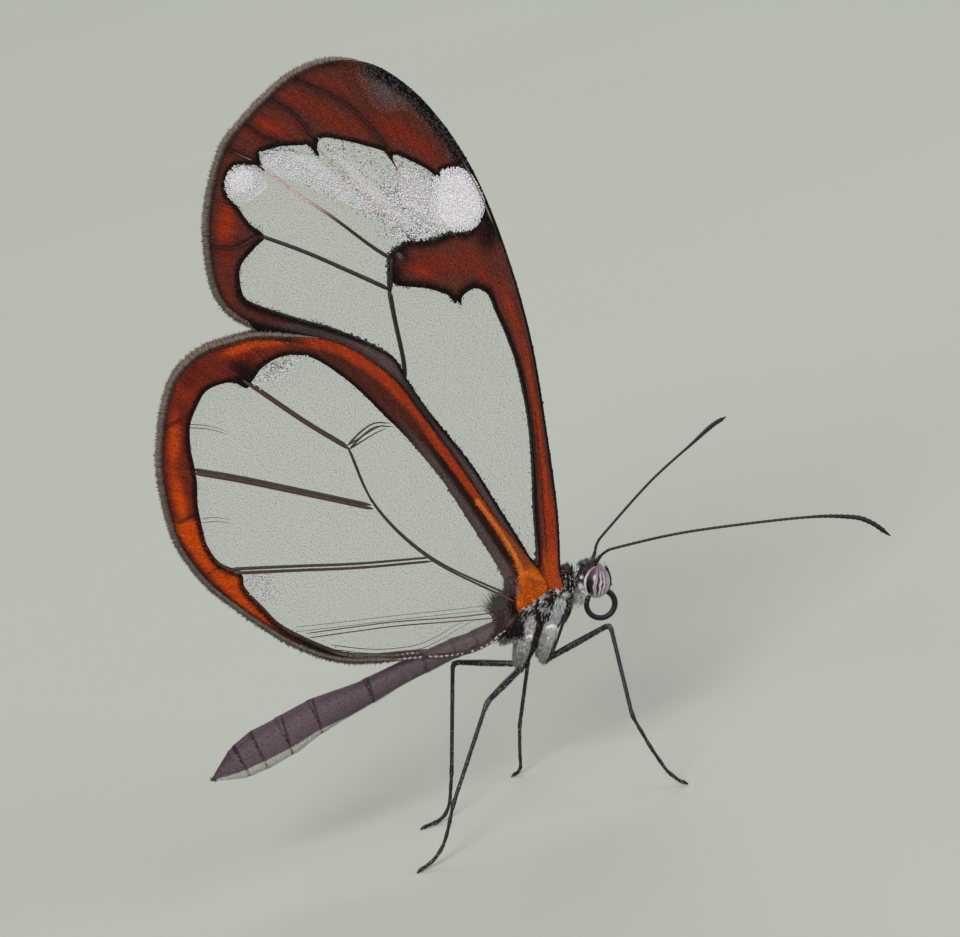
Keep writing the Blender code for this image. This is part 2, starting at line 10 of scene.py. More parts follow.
import bmesh
import bpy
import numpy as np
from mathutils import Matrix, Vector


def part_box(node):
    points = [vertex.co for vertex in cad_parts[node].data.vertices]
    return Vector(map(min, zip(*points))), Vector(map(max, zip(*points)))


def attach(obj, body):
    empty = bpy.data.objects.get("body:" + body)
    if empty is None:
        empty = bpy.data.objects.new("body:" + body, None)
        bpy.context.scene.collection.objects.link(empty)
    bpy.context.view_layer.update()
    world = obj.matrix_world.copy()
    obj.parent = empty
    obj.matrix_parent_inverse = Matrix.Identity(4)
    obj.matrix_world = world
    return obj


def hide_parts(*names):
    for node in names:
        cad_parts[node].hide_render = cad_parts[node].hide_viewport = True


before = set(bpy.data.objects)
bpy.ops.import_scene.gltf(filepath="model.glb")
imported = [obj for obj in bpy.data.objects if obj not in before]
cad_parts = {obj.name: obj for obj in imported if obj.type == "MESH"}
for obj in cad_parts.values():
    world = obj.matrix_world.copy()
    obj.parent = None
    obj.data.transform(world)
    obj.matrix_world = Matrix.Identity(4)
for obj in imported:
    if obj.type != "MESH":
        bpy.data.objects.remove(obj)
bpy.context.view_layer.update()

MM = 0.001
SIDES = ((-1, "right"), (1, "left"))
thorax_low, thorax_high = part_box("thorax")
CENTRE = Vector((thorax_high.x / MM - 1.78, (thorax_low.y + thorax_high.y) / 2 / MM,
                 thorax_high.z / MM - 1.77))
FLOOR = -CENTRE.z
print("middle of the thorax, mm:", [round(value, 2) for value in CENTRE])

# %% [markdown]
# ## The viewpoint
# The picture was taken from the butterfly's right side, a little from above, with the leaf that
# it stood on running uphill. On a level floor the same view needs a camera that is rolled by that
# slope. A long lens keeps the near and far legs at nearly the same size.

# %% Set up the camera
AZIMUTH = math.radians(-5.0)
ELEVATION = math.radians(14.0)
ROLL = math.radians(16.1)
LENS = 135.0
SENSOR = 36.0
PICTURE_WIDTH = 960
PIXEL = 29.0 / 575
LOOK_AT = CENTRE + Vector((-1.125, 0.0, 8.542))

camera_data = bpy.data.cameras.new("camera")
camera_data.lens = LENS
camera_data.sensor_width = SENSOR
camera_data.clip_start = MM
camera = bpy.data.objects.new("camera", camera_data)
bpy.context.scene.collection.objects.link(camera)
back = Vector((math.sin(AZIMUTH) * math.cos(ELEVATION), -math.cos(AZIMUTH) * math.cos(ELEVATION),
               math.sin(ELEVATION)))
distance = LENS / SENSOR * PICTURE_WIDTH * PIXEL
level = back.to_track_quat("Z", "Y").to_matrix().to_4x4()
camera.matrix_world = (Matrix.Translation((LOOK_AT + back * distance) * MM) @ level
                       @ Matrix.Rotation(-ROLL, 4, "Z"))
bpy.context.scene.camera = camera
print("camera stands", round(distance, 1), "mm away")

# %% [markdown]
# ## Colours and nodes
# Every colour is written as the sRGB hex value that an eye would pick, and one function turns it
# into the linear numbers that Blender mixes. One more function adds a shader node, sets it and
# links it, so that a material reads as a list of its layers.

# %% Name the colours
def paint(hex_colour):
    """Linear red, green and blue from an sRGB hex value."""
    parts = np.array([int(hex_colour[place:place + 2], 16) for place in (1, 3, 5)]) / 255.0
    return np.where(parts <= 0.04045, parts / 12.92, ((parts + 0.055) / 1.055) ** 2.4)


BLACK = paint("#110c0a")
DARK = paint("#251813")
BROWN_RED = paint("#653226")
ORANGE = paint("#a93a12")
BRIGHT = paint("#d04d0c")
MAROON = paint("#54291e")
GREY_BROWN = paint("#564943")
PURPLE_GREY = paint("#5f4d4c")
PALE_LILAC = paint("#a8949a")
WHITE = paint("#fdf8ff")
PINK_VEIN = paint("#c9a4a0")
FRINGE = paint("#5f5047")
FRINGE_TIP = paint("#aaa090")
HAIR_WHITE = paint("#f6f4f6")
HAIR_GREY = paint("#bcbcbb")
BODY_BROWN = paint("#32262a")
ABDOMEN_BROWN = paint("#4d3a42")
ABDOMEN_PALE = paint("#c9c6c2")
BLUE_BLACK = paint("#0a0e15")


def rgba(colour):
    """A colour socket's four numbers."""
    return (*[float(part) for part in colour], 1.0)


# %% Add a node
def add(tree, kind, inputs=None, **settings):
    """Add a shader node, set its properties, and fill or link its inputs."""
    node = tree.nodes.new("ShaderNode" + kind)
    for name, value in settings.items():
        setattr(node, name, value)
    for name, value in (inputs or {}).items():
        if isinstance(value, bpy.types.NodeSocket):
            tree.links.new(value, node.inputs[name])
        else:
            node.inputs[name].default_value = value
    return node


def new_finish(name, **shader_values):
    """A material with its Principled shader set to plain values."""
    finish = bpy.data.materials.new(name)
    finish.use_nodes = True
    shader = finish.node_tree.nodes["Principled BSDF"]
    for socket, value in shader_values.items():
        shader.inputs[socket.replace("_", " ")].default_value = value
    return finish, finish.node_tree, shader


# %% [markdown]
# ## Wing scales, wing veins and clear membrane
# A butterfly's wing is a clear sheet of chitin a few thousandths of a millimetre thick. The
# colour comes from flat scales that overlap like roof tiles. Here each scale is a small solid
# that carries its own colour, so the material only has to add what all scales share: a satin
# surface with a slight difference from one to the next.

# %% Layers that the finishes share
GRAIN_RANGE = (0.3, 0.7)


def pigmented(name, grain, detail, tones, strength, depth, ribs=None, **values):
    """A finish whose stored pigment is varied by a fine grain, which also stands up as relief."""
    finish, tree, shader = new_finish(name, **values)
    place = add(tree, "TexCoord").outputs["Object"]
    pigment = add(tree, "Attribute", attribute_name="pigment")
    noise = add(tree, "TexNoise", {"Vector": place, "Scale": 1.0 / (grain * MM),
                                   "Detail": detail})
    tone = add(tree, "MapRange", {
        "Value": noise.outputs["Fac"], "From Min": GRAIN_RANGE[0], "From Max": GRAIN_RANGE[1],
        "To Min": tones[0], "To Max": tones[1]})
    shade = add(tree, "VectorMath", {0: pigment.outputs["Color"],
                                     "Scale": tone.outputs["Result"]}, operation="SCALE")
    tree.links.new(shade.outputs["Vector"], shader.inputs["Base Color"])
    lines = noise if ribs is None else add(tree, "TexNoise", {
        "Vector": place, "Scale": 1.0 / (ribs * MM)})
    relief = add(tree, "Bump", {"Height": lines.outputs["Fac"], "Strength": strength,
                                "Distance": depth * MM})
    tree.links.new(relief.outputs["Normal"], shader.inputs["Normal"])
    return finish, tree, shader, noise


def filmy(name, grain, detail, tints, strength, **values):
    """A see-through film that shifts between two tints and ripples a little."""
    finish, tree, shader = new_finish(name, **values)
    place = add(tree, "TexCoord")
    cells = add(tree, "TexNoise", {"Vector": place.outputs["Object"],
                                   "Scale": 1.0 / (grain * MM), "Detail": detail})
    tint = add(tree, "Mix", {0: cells.outputs["Fac"], 6: rgba(paint(tints[0])),
                             7: rgba(paint(tints[1]))}, data_type="RGBA")
    tree.links.new(tint.outputs[2], shader.inputs["Base Color"])
    relief = add(tree, "Bump", {"Height": cells.outputs["Fac"], "Strength": strength,
                                "Distance": RIPPLE * MM})
    tree.links.new(relief.outputs["Normal"], shader.inputs["Normal"])
    return finish


# %% The finishes of wings and body
RIPPLE = 0.01
# Scales: satin, each a little lighter or darker than the next, with fine ribs.
scale_finish = pigmented("ribbed_chitin_scales", 0.12, 2.0, (0.92, 1.08), 0.25, 0.004, 0.03,
                         Roughness=0.75, Specular_IOR_Level=0.10)[0]
# Bare chitin of veins, legs and feelers: dark, mottled, and glossier where it is smooth.
chitin_finish, tree, shader, mottle = pigmented(
    "bare_sclerotised_chitin", 0.2, 3.0, (0.7, 1.25), 0.3, 0.01, Roughness=0.45,
    Specular_IOR_Level=0.28, IOR=1.56)
gloss = add(tree, "MapRange", {"Value": mottle.outputs["Fac"], "To Min": 0.34,
                               "To Max": 0.55})
tree.links.new(gloss.outputs["Result"], shader.inputs["Roughness"])
# The clear windows: almost nothing but a grey breath and a shine.
clear_finish = filmy("bare_clear_wing_membrane", 0.15, 2.0, ("#8d928a", "#b9bbb4"), 0.2,
                     Alpha=0.03, Roughness=0.2, IOR=1.5)
# The milky band: a matt white veil.
milky_finish = filmy("milky_white_scaled_membrane", 0.1, 3.0, ("#efeff2", "#ffffff"), 0.3,
                     Alpha=0.2, Roughness=0.7, Specular_IOR_Level=0.1)
# The skin under the coat: dull, with a coarse nap.
skin_finish = pigmented("soft_body_cuticle", 0.08, 3.0, (0.65, 1.2), 0.6, 0.02, Roughness=0.7,
                        Specular_IOR_Level=0.25)[0]

# %% [markdown]
# ## Lines, distances and swept tubes
# The wing pattern is drawn with smooth lines and with distances to them, in the wing's own flat
# plane: x runs forward and z up. Veins, legs and feelers are tubes: a circle that is extruded
# from one ring to the next along a line.

# %% Smooth lines in the wing's plane
def smooth_line(knots, step, closed=False):
    """Points about a step apart on the smooth curve through the knots."""
    knots = np.array(knots, float)
    if closed:
        padded = np.vstack([knots[-1], knots, knots[:2]])
    else:
        padded = np.vstack([2 * knots[0] - knots[1], knots, 2 * knots[-1] - knots[-2]])
    fine = []
    for a, b, c, d in zip(padded, padded[1:], padded[2:], padded[3:]):
        for part in np.linspace(0.0, 1.0, 16, endpoint=False):
            fine.append(0.5 * (2 * b + (c - a) * part + (2 * a - 5 * b + 4 * c - d) * part ** 2
                               + (3 * b - a - 3 * c + d) * part ** 3))
    fine.append(knots[0] if closed else knots[-1])
    fine = np.array(fine)
    run = np.concatenate([[0.0], np.cumsum(np.linalg.norm(np.diff(fine, axis=0), axis=1))])
    wanted = np.linspace(0.0, run[-1], max(3, round(run[-1] / step)) + 1)
    return np.column_stack([np.interp(wanted, run, column) for column in fine.T])


def distance_to(points, line):
    """How far each point lies from a bent line."""
    nearest = np.full(len(points), 1e9)
    for start, end in zip(line[:-1], line[1:]):
        span = end - start
        share = np.clip((points - start) @ span / (span @ span), 0.0, 1.0)
        off = points - start - share[:, None] * span
        nearest = np.minimum(nearest, np.sqrt((off * off).sum(axis=1)))
    return nearest


def within(points, loop):
    """Which points lie inside a closed line."""
    held = np.zeros(len(points), bool)
    for (ax, az), (bx, bz) in zip(loop[:-1], loop[1:]):
        crosses = (az > points[:, 1]) != (bz > points[:, 1])
        held ^= crosses & (points[:, 0] < (bx - ax) * (points[:, 1] - az) / (bz - az + 1e-12) + ax)
    return held


def fade(value, full, gone):
    """1 up to full, 0 from gone, and smooth between."""
    share = np.clip((value - gone) / (full - gone), 0.0, 1.0)
    return share * share * (3.0 - 2.0 * share)


def spot(points, centre, long, wide, turn):
    """A soft oval spot, 1 in its middle."""
    off = points - np.array(centre)
    cos, sin = math.cos(math.radians(turn)), math.sin(math.radians(turn))
    along = (off[:, 0] * cos + off[:, 1] * sin) / long
    across = (off[:, 1] * cos - off[:, 0] * sin) / wide
    return np.exp(-(along ** 2 + across ** 2) ** 1.5)


def tinge(colours, amount, other):
    """Mix another colour into each point's colour by its own amount."""
    return colours + (other - colours) * np.asarray(amount).reshape(-1, 1)


def spotted(colours, points, spots, other, strength=1.0):
    """Mix another colour in at several soft spots. The last number of each is its amount."""
    for *place, amount in spots:
        colours = tinge(colours, strength * amount * spot(points, *place), other)
    return colours


# %% Sweep a closed tube along a line
def carried_frames(line, upward=None):
    """A frame at each point of a line, carried along it without a twist."""
    line = [Vector(point) for point in line]
    across = Vector(upward) if upward else (line[1] - line[0]).orthogonal()
    frames = []
    for index, point in enumerate(line):
        heading = (line[min(index + 1, len(line) - 1)] - line[max(index - 1, 0)]).normalized()
        across = (across - heading * across.dot(heading)).normalized()
        turn = Matrix((across, heading.cross(across), heading)).transposed()
        frames.append(Matrix.Translation(point) @ turn.to_4x4())
    return frames


def sweep(line, sizes, sides=12, upward=None):
    """A closed limb: a circle carried along a line. Each size is its two radii, in mm."""
    shape = bmesh.new()
    rings = [ring @ Matrix.Diagonal((wide, high, 1.0, 1.0))
             for ring, (wide, high) in zip(carried_frames(line, upward), sizes)]
    bmesh.ops.create_circle(shape, cap_ends=True, segments=sides, radius=1.0, matrix=rings[0])
    edges = shape.edges[:]
    for before, after in zip(rings, rings[1:]):
        made = bmesh.ops.extrude_edge_only(shape, edges=edges)["geom"]
        verts = {item for item in made if isinstance(item, bmesh.types.BMVert)}
        edges = [item for item in made if isinstance(item, bmesh.types.BMEdge)
                 and item.verts[0] in verts and item.verts[1] in verts]
        bmesh.ops.transform(shape, matrix=after @ before.inverted(), verts=list(verts))
    bmesh.ops.contextual_create(shape, geom=edges)
    bmesh.ops.recalc_face_normals(shape, faces=shape.faces)
    return shape


def gathered(shapes):
    """Put several bmeshes into one."""
    whole = bmesh.new()
    for shape in shapes:
        spare = bpy.data.meshes.new("spare")
        shape.to_mesh(spare)
        shape.free()
        whole.from_mesh(spare)
        bpy.data.meshes.remove(spare)
    return whole


# %% Put a finished shape in its place
def lay_pigment(mesh, colours):
    """Store a colour at each vertex, which the materials read as pigment."""
    layer = mesh.attributes.new("pigment", "FLOAT_COLOR", "POINT")
    values = np.ones((len(mesh.vertices), 4), np.float32)
    values[:, :3] = np.clip(colours, 0.0, 1.0)
    layer.data.foreach_set("color", values.ravel())


def set_down(name, mesh, finish, slot, *nodes):
    """Turn a mesh in mm round the thorax into a piece in metres, riding on the body."""
    mesh.transform(Matrix.Scale(MM, 4) @ Matrix.Translation(CENTRE))
    mesh.materials.append(finish)
    mesh.name = name
    piece = bpy.data.objects.new(name, mesh)
    bpy.context.scene.collection.objects.link(piece)
    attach(piece, "root")
    if nodes:
        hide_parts(*nodes)
    print(name, len(mesh.polygons), "faces")
    return piece


def places_of(mesh):
    """The places of a mesh's vertices as rows."""
    places = np.zeros(len(mesh.vertices) * 3, np.float32)
    mesh.vertices.foreach_get("co", places)
    return places.reshape(-1, 3).astype(float)


def mesh_of(shape):
    """The bmesh as a mesh, with the places of its vertices as rows."""
    mesh = bpy.data.meshes.new("shape")
    shape.to_mesh(mesh)
    shape.free()
    mesh.shade_smooth()
    return mesh, places_of(mesh)


# %% [markdown]
# ## Scales and hairs as one joined mesh
# Scales, hairs and bristles are all the same tiny solid: a kite with a root, two shoulders and a
# raised tip, closed underneath by a fourth face. Thousands of them become one mesh from arrays.
# Each also gets a small patch on the map named OFBake, at the place of its root on the unrolled
# skin, so that its colour can be stored in a picture.

# %% Make a cloud of kites
KITE_FACES = np.array(((0, 1, 2), (0, 3, 1), (0, 2, 3), (1, 3, 2)))
PATCH = 0.0015
MAP_EDGE = 0.02
MAP_SPAN = 0.95
KITE_PATCH = np.array(((-PATCH, 0.0), (0.0, PATCH), (0.0, -PATCH), (PATCH, 0.0)))


def kites(name, roots, along, outward, sizes, colours, patches, finish, slot, shoulder=0.62,
          tip_light=1.2, root_light=0.85, nodes=()):
    """One mesh of many scales or hairs. Sizes are length, width and lift, one row each."""
    count = len(roots)
    along = along / np.linalg.norm(along, axis=1)[:, None]
    across = np.cross(outward, along)
    across /= np.linalg.norm(across, axis=1)[:, None]
    length, width, lift = (sizes[:, [column]] for column in range(3))
    middle = roots + along * length * shoulder
    corners = np.stack([roots, middle + across * width / 2, middle - across * width / 2,
                        roots + along * length + outward * lift], axis=1)
    starts = np.arange(count)[:, None, None] * 4
    faces = (starts + KITE_FACES[None]).reshape(-1, 3)
    mesh = bpy.data.meshes.new(name)
    mesh.vertices.add(count * 4)
    mesh.vertices.foreach_set("co", corners.reshape(-1).astype(np.float32))
    mesh.loops.add(len(faces) * 3)
    mesh.loops.foreach_set("vertex_index", faces.ravel().astype(np.int32))
    mesh.polygons.add(len(faces))
    mesh.polygons.foreach_set("loop_start", np.arange(0, len(faces) * 3, 3, dtype=np.int32))
    mesh.update(calc_edges=True)
    # Each kite's root is painted darker, as painted shade under the scale before it, and its raised
    # tip lighter, as a painted highlight.
    shades = np.array((root_light, 1.0, 1.0, tip_light))[None, :, None] * colours[:, None, :]
    lay_pigment(mesh, shades.reshape(-1, 3))
    spots = (patches[:, None, :] + KITE_PATCH[None]).reshape(-1, 2)[faces.ravel()]
    mesh.uv_layers.new(name="OFBake").data.foreach_set("uv", spots.ravel().astype(np.float32))
    return set_down(name, mesh, finish, slot, *nodes)


def scattered(low, high, pitch_x, pitch_z, random):
    """A jittered grid of points over a box, every other row shifted by half a step."""
    columns = np.arange(low[0], high[0], pitch_x)
    rows = np.arange(low[1], high[1], pitch_z)
    grid = np.stack(np.meshgrid(columns, rows), axis=-1)
    grid[1::2, :, 0] += pitch_x / 2
    points = grid.reshape(-1, 2)
    return points + (random.random(points.shape) - 0.5) * np.array((pitch_x, pitch_z)) * 0.8


# %% [markdown]
# ## The wings' outlines
# Each wing is drawn flat, as seen from the side. A rim line goes round it, and a pane line goes
# round the clear part. What lies between them is covered with scales. The sheet stops a little
# inside the rim along the outer margin, where a fringe of hair-like scales goes on to the rim.

# %% Draw the forewing
LINE_STEP = 0.25
FRINGE_REACH = 0.34
FORE_RIM = smooth_line((
    (1.2, 1.15), (1.32, 2.3), (1.73, 3.9), (2.14, 5.9), (2.62, 9.5), (3.05, 13.2), (3.18, 16.1),
    (3.12, 18.7), (2.97, 20.8), (2.7, 22.8), (2.3, 24.5), (1.75, 26.1), (0.85, 27.9),
    (-0.5, 29.5), (-2.5, 30.6), (-4.4, 30.6), (-6.0, 30.0), (-7.6, 29.1), (-9.0, 28.1),
    (-10.1, 26.5), (-10.95, 24.7), (-11.4, 22.8), (-11.5, 21.1), (-11.05, 19.8), (-10.0, 18.75),
    (-8.6, 17.9), (-7.2, 17.0), (-5.7, 15.8), (-4.3, 13.9), (-3.55, 12.0), (-2.45, 8.9),
    (-1.35, 5.7), (-0.55, 3.6), (0.3, 1.15)), LINE_STEP, closed=True)
FORE_PANE = smooth_line((
    (0.4, 3.1), (0.93, 5.7), (1.4, 7.6), (1.9, 10.2), (2.1, 12.9), (2.0, 14.7), (1.83, 15.9),
    (1.7, 16.95), (1.2, 17.5), (0.75, 17.5), (0.35, 17.3), (0.2, 16.85), (0.12, 17.25),
    (-0.06, 17.05), (-0.2, 17.5), (-0.6, 17.85), (-1.3, 18.3), (-2.6, 18.85),
    (-2.75, 19.4), (-2.45, 20.3), (-1.9, 20.6), (-1.3, 20.65), (-0.4, 20.4), (0.5, 20.45),
    (1.0, 20.45), (1.5, 20.25), (2.1, 20.5), (2.55, 21.0), (2.72, 21.6), (2.58, 22.6),
    (2.2, 23.35), (1.6, 23.65), (1.05, 23.65), (0.9, 23.35), (0.35, 24.05), (-0.4, 24.75),
    (-0.95, 25.15), (-1.1, 24.75), (-1.3, 25.35), (-1.9, 25.8), (-2.9, 26.4), (-4.05, 26.95),
    (-4.45, 26.65), (-4.5, 26.1), (-4.85, 26.8), (-5.2, 26.9), (-6.2, 27.15), (-7.15, 27.15),
    (-7.35, 26.75), (-7.25, 26.2), (-7.6, 26.6), (-8.0, 26.75), (-8.65, 26.85), (-9.2, 26.3),
    (-9.35, 25.5), (-9.0, 24.75), (-8.7, 23.85), (-8.2, 23.1), (-8.75, 22.75), (-9.7, 22.1),
    (-10.0, 21.3), (-10.0, 20.45), (-9.55, 19.9), (-7.9, 18.7), (-6.3, 17.65), (-4.65, 16.3),
    (-3.7, 15.25), (-3.4, 14.05), (-2.7, 11.9), (-1.5, 8.95), (-0.84, 6.65), (-0.28, 4.65),
    (0.15, 3.1)), LINE_STEP * 0.6, closed=True)
print("forewing rim and pane:", len(FORE_RIM), len(FORE_PANE), "points")

# %% Draw the hindwing
HIND_RIM = smooth_line((
    (0.47, 1.6), (-0.25, 4.0), (-1.05, 6.0), (-2.1, 9.25), (-3.2, 12.3), (-4.0, 14.35),
    (-5.45, 16.3), (-7.1, 17.5), (-9.7, 18.65), (-11.35, 18.8), (-12.7, 18.75), (-14.2, 18.15),
    (-15.3, 16.95), (-16.2, 15.1), (-16.8, 13.2), (-17.05, 10.3), (-16.75, 8.6),
    (-16.1, 6.95), (-15.0, 5.3), (-13.95, 3.9), (-12.9, 2.7), (-11.45, 1.5), (-10.2, 0.85),
    (-9.2, 0.55), (-8.3, 0.36), (-7.5, 0.24), (-6.5, 0.02), (-5.77, -0.17), (-5.1, -0.33),
    (-4.36, -0.46), (-3.7, -0.43), (-3.0, -0.27), (-2.5, 0.0), (-1.9, 0.32), (-1.2, 0.75)),
    LINE_STEP, closed=True)
HIND_PANE = smooth_line((
    (-1.5, 2.4), (-1.7, 3.6), (-2.05, 4.85), (-2.5, 6.4), (-3.05, 8.35), (-3.6, 9.75),
    (-4.3, 11.35), (-5.1, 12.85), (-5.9, 14.35), (-6.75, 15.6), (-7.65, 16.6), (-8.5, 17.02),
    (-9.3, 17.12), (-10.15, 16.9), (-10.7, 16.5), (-11.2, 16.1), (-11.5, 16.4), (-12.1, 16.68),
    (-13.1, 16.6), (-13.75, 16.05), (-14.4, 15.2), (-14.72, 14.1), (-14.82, 13.1),
    (-14.95, 12.2), (-15.2, 11.3), (-15.33, 10.2), (-15.38, 9.0), (-15.15, 8.05),
    (-14.75, 7.5), (-14.15, 7.08), (-14.22, 6.5), (-14.1, 5.95), (-13.55, 4.85), (-13.05, 3.85),
    (-12.15, 2.88), (-11.3, 2.1), (-10.4, 1.42), (-9.3, 0.95), (-8.3, 0.68), (-7.5, 0.52),
    (-6.5, 0.27), (-5.77, 0.07), (-5.1, -0.1), (-4.36, -0.22), (-3.7, -0.18), (-3.1, 0.0),
    (-2.75, 0.35), (-2.4, 0.95), (-1.85, 1.6)), LINE_STEP * 0.6, closed=True)
print("hindwing rim and pane:", len(HIND_RIM), len(HIND_PANE), "points")


# %% Pull the sheet's edge in where the fringe grows
def drawn_in(rim, amounts):
    """The rim moved inward, each point by its own amount."""
    loop = rim[:-1]
    heading = np.roll(loop, -1, axis=0) - np.roll(loop, 1, axis=0)
    heading /= np.linalg.norm(heading, axis=1)[:, None]
    inward = np.column_stack([-heading[:, 1], heading[:, 0]])
    moved = loop + inward * amounts[:-1, None]
    return np.vstack([moved, moved[:1]])


fore_fringe = FRINGE_REACH * fade(FORE_RIM[:, 0], -4.0, -0.5) * fade(FORE_RIM[:, 1], 19.5, 18.6)
FORE_EDGE = drawn_in(FORE_RIM, fore_fringe)
hind_fringe = FRINGE_REACH * fade(HIND_RIM[:, 0], -9.5, -6.5)
HIND_EDGE = drawn_in(HIND_RIM, hind_fringe)
print("fringe reach, mm:", FRINGE_REACH)

# %% [markdown]
# ## How far the wings stand from the middle
# The wings are held together over the back, so each pair is nearly a plane beside the plane of
# symmetry. It flares out to its hinge on the thorax. The hindwing lies on the outside, and its
# inner margin is draped over the side of the abdomen, so the body's line is needed here already.

# %% Give the wing its place in depth
WING_PLANE = 0.28
HINGE_PLANE = 0.62
HINGE = np.array((0.3, 1.2))
FLARE_REACH = 5.0
CUP = 0.10
CUP_LENGTH = 30.0
HIND_OVER = 0.07
DRAPE = 0.05
BODY_AT = ((-18.6, -2.83), (-18.4, -2.78), (-18.0, -2.68), (-17.2, -2.46), (-16.0, -2.12),
           (-14.4, -1.77), (-12.6, -1.28), (-10.0, -0.91), (-8.0, -0.51), (-7.0, -0.36),
           (-6.0, -0.21), (-5.0, -0.07), (-4.0, -0.01), (-3.0, 0.15), (-2.1, 0.20),
           (-1.6, -0.02), (-1.3, -0.08))
BODY_HALF = ((0.05, 0.06), (0.16, 0.19), (0.34, 0.42), (0.62, 0.84), (0.80, 1.05), (0.82, 1.04),
             (0.74, 0.91), (0.58, 0.67), (0.52, 0.58), (0.49, 0.55), (0.47, 0.53), (0.46, 0.51),
             (0.45, 0.50), (0.44, 0.48), (0.44, 0.48), (0.86, 0.80), (0.98, 0.98))
BODY_X, BODY_Z = np.array(BODY_AT).T
BODY_WIDE, BODY_HIGH = np.array(BODY_HALF).T


def body_side(points):
    """How far out the abdomen's side lies at each point of the side view."""
    x, z = points.T
    middle, wide, high = (np.interp(x, BODY_X, column)
                          for column in (BODY_Z, BODY_WIDE, BODY_HIGH))
    return wide * np.sqrt(np.clip(1.0 - ((z - middle) / high) ** 2, 0.0, 1.0))


def wing_depth(points, over=0.0):
    """How far out the wing lies. The hindwing's inner margin is draped over the abdomen."""
    reach = np.sqrt(((points - HINGE) ** 2).sum(axis=1))
    flare = (HINGE_PLANE - WING_PLANE) * fade(reach, 0.0, FLARE_REACH)
    depth = WING_PLANE + over + flare + CUP * np.sin(np.pi * np.clip(reach / CUP_LENGTH, 0.0, 1.0))
    return np.maximum(depth, body_side(points) + DRAPE) if over else depth


# %% [markdown]
# ## Veins
# The veins are hollow tubes that carry the sheet. In the clear part they stand alone as dark
# lines, pinkish where they cross the white band. Each is swept along its own line and gets
# thinner towards the margin.

# %% Draw the veins
FORE_VEINS = (
    (((-2.45, 20.3), (-2.75, 19.4), (-3.0, 18.6)), 0.12, 0.12),
    (((-7.5, 26.7), (-6.1, 24.7), (-4.7, 23.0), (-3.3, 21.1), (-2.45, 20.1)), 0.045, 0.085),
    (((-8.5, 23.25), (-6.45, 21.7), (-4.3, 19.85), (-3.0, 18.7)), 0.065, 0.085),
    (((-3.0, 18.7), (-3.15, 17.2), (-3.3, 15.1), (-3.5, 14.1)), 0.10, 0.085),
    (((-4.5, 26.6), (-3.7, 25.05), (-2.65, 23.2), (-1.65, 21.6), (-1.1, 20.4)), 0.04, 0.05),
    (((-1.15, 25.2), (-0.65, 23.15), (0.1, 22.0), (0.8, 20.6), (1.1, 19.7)), 0.035, 0.04),
    (((0.95, 23.7), (1.01, 22.7), (1.09, 21.4), (1.05, 20.3)), 0.025, 0.03),
    (((1.6, 23.65), (1.55, 22.5), (1.36, 21.3), (1.4, 20.3)), 0.03, 0.035),
)
FORE_RIDGES = (
    (((0.95, 1.4), (1.6, 4.3), (2.45, 9.6), (2.9, 13.2), (3.0, 16.1), (2.95, 18.7), (2.8, 20.8),
      (2.5, 22.8), (1.9, 24.9), (0.6, 27.5)), 0.08, 0.05),
    (((0.75, 1.4), (0.85, 3.2), (1.3, 6.3), (1.95, 9.9), (2.4, 13.2), (2.38, 15.5), (2.1, 17.3),
      (1.86, 18.1), (1.5, 18.9), (1.2, 19.8)), 0.07, 0.04),
    (((0.45, 1.6), (-0.3, 4.0), (-1.2, 7.0), (-2.4, 10.6), (-3.5, 13.9), (-4.2, 15.3),
      (-6.0, 17.1), (-8.6, 18.8)), 0.07, 0.04),
    (((-4.7, 30.15), (-3.05, 28.75), (-1.95, 27.35), (-1.2, 25.6)), 0.04, 0.05),
    (((-6.2, 29.65), (-5.05, 28.4), (-4.5, 27.0)), 0.04, 0.05),
    (((-7.6, 28.9), (-6.9, 27.9), (-6.2, 27.3)), 0.04, 0.04),
    (((-8.9, 27.9), (-7.6, 26.8)), 0.04, 0.05),
    (((-11.0, 23.45), (-9.7, 23.0), (-8.5, 23.25)), 0.04, 0.06),
)
HIND_VEINS = (
    (((-11.3, 16.6), (-9.0, 13.65), (-7.2, 11.6)), 0.095, 0.085),
    (((-7.2, 11.6), (-6.3, 12.1), (-5.55, 12.3), (-4.8, 12.05)), 0.07, 0.03),
    (((-7.2, 11.6), (-6.3, 11.85), (-5.6, 12.02), (-5.1, 12.05)), 0.05, 0.02),
    (((-7.2, 11.6), (-6.7, 8.25), (-4.75, 4.8), (-1.3, 1.45)), 0.065, 0.06),
    (((-14.6, 15.1), (-13.6, 14.7), (-12.75, 14.15)), 0.025, 0.01),
    (((-15.35, 10.25), (-14.6, 10.1), (-13.9, 9.75)), 0.02, 0.01),
    (((-14.95, 12.8), (-12.85, 11.7), (-10.2, 10.2), (-6.9, 8.3)), 0.115, 0.095),
    (((-14.6, 7.3), (-11.3, 6.4), (-8.4, 5.6), (-4.8, 4.78)), 0.10, 0.065),
    (((-12.4, 3.4), (-9.4, 2.8), (-7.7, 2.47), (-5.2, 1.96), (-3.1, 1.52), (-1.9, 1.3)),
     0.014, 0.014),
    (((-11.9, 2.9), (-7.8, 2.17), (-5.3, 1.58), (-3.8, 1.23), (-2.2, 0.9)), 0.03, 0.035),
    (((-10.9, 1.95), (-9.4, 1.25), (-8.2, 0.84), (-6.9, 0.59), (-6.1, 0.61), (-5.25, 0.77),
      (-4.4, 0.99), (-3.6, 1.15)), 0.026, 0.010),
)
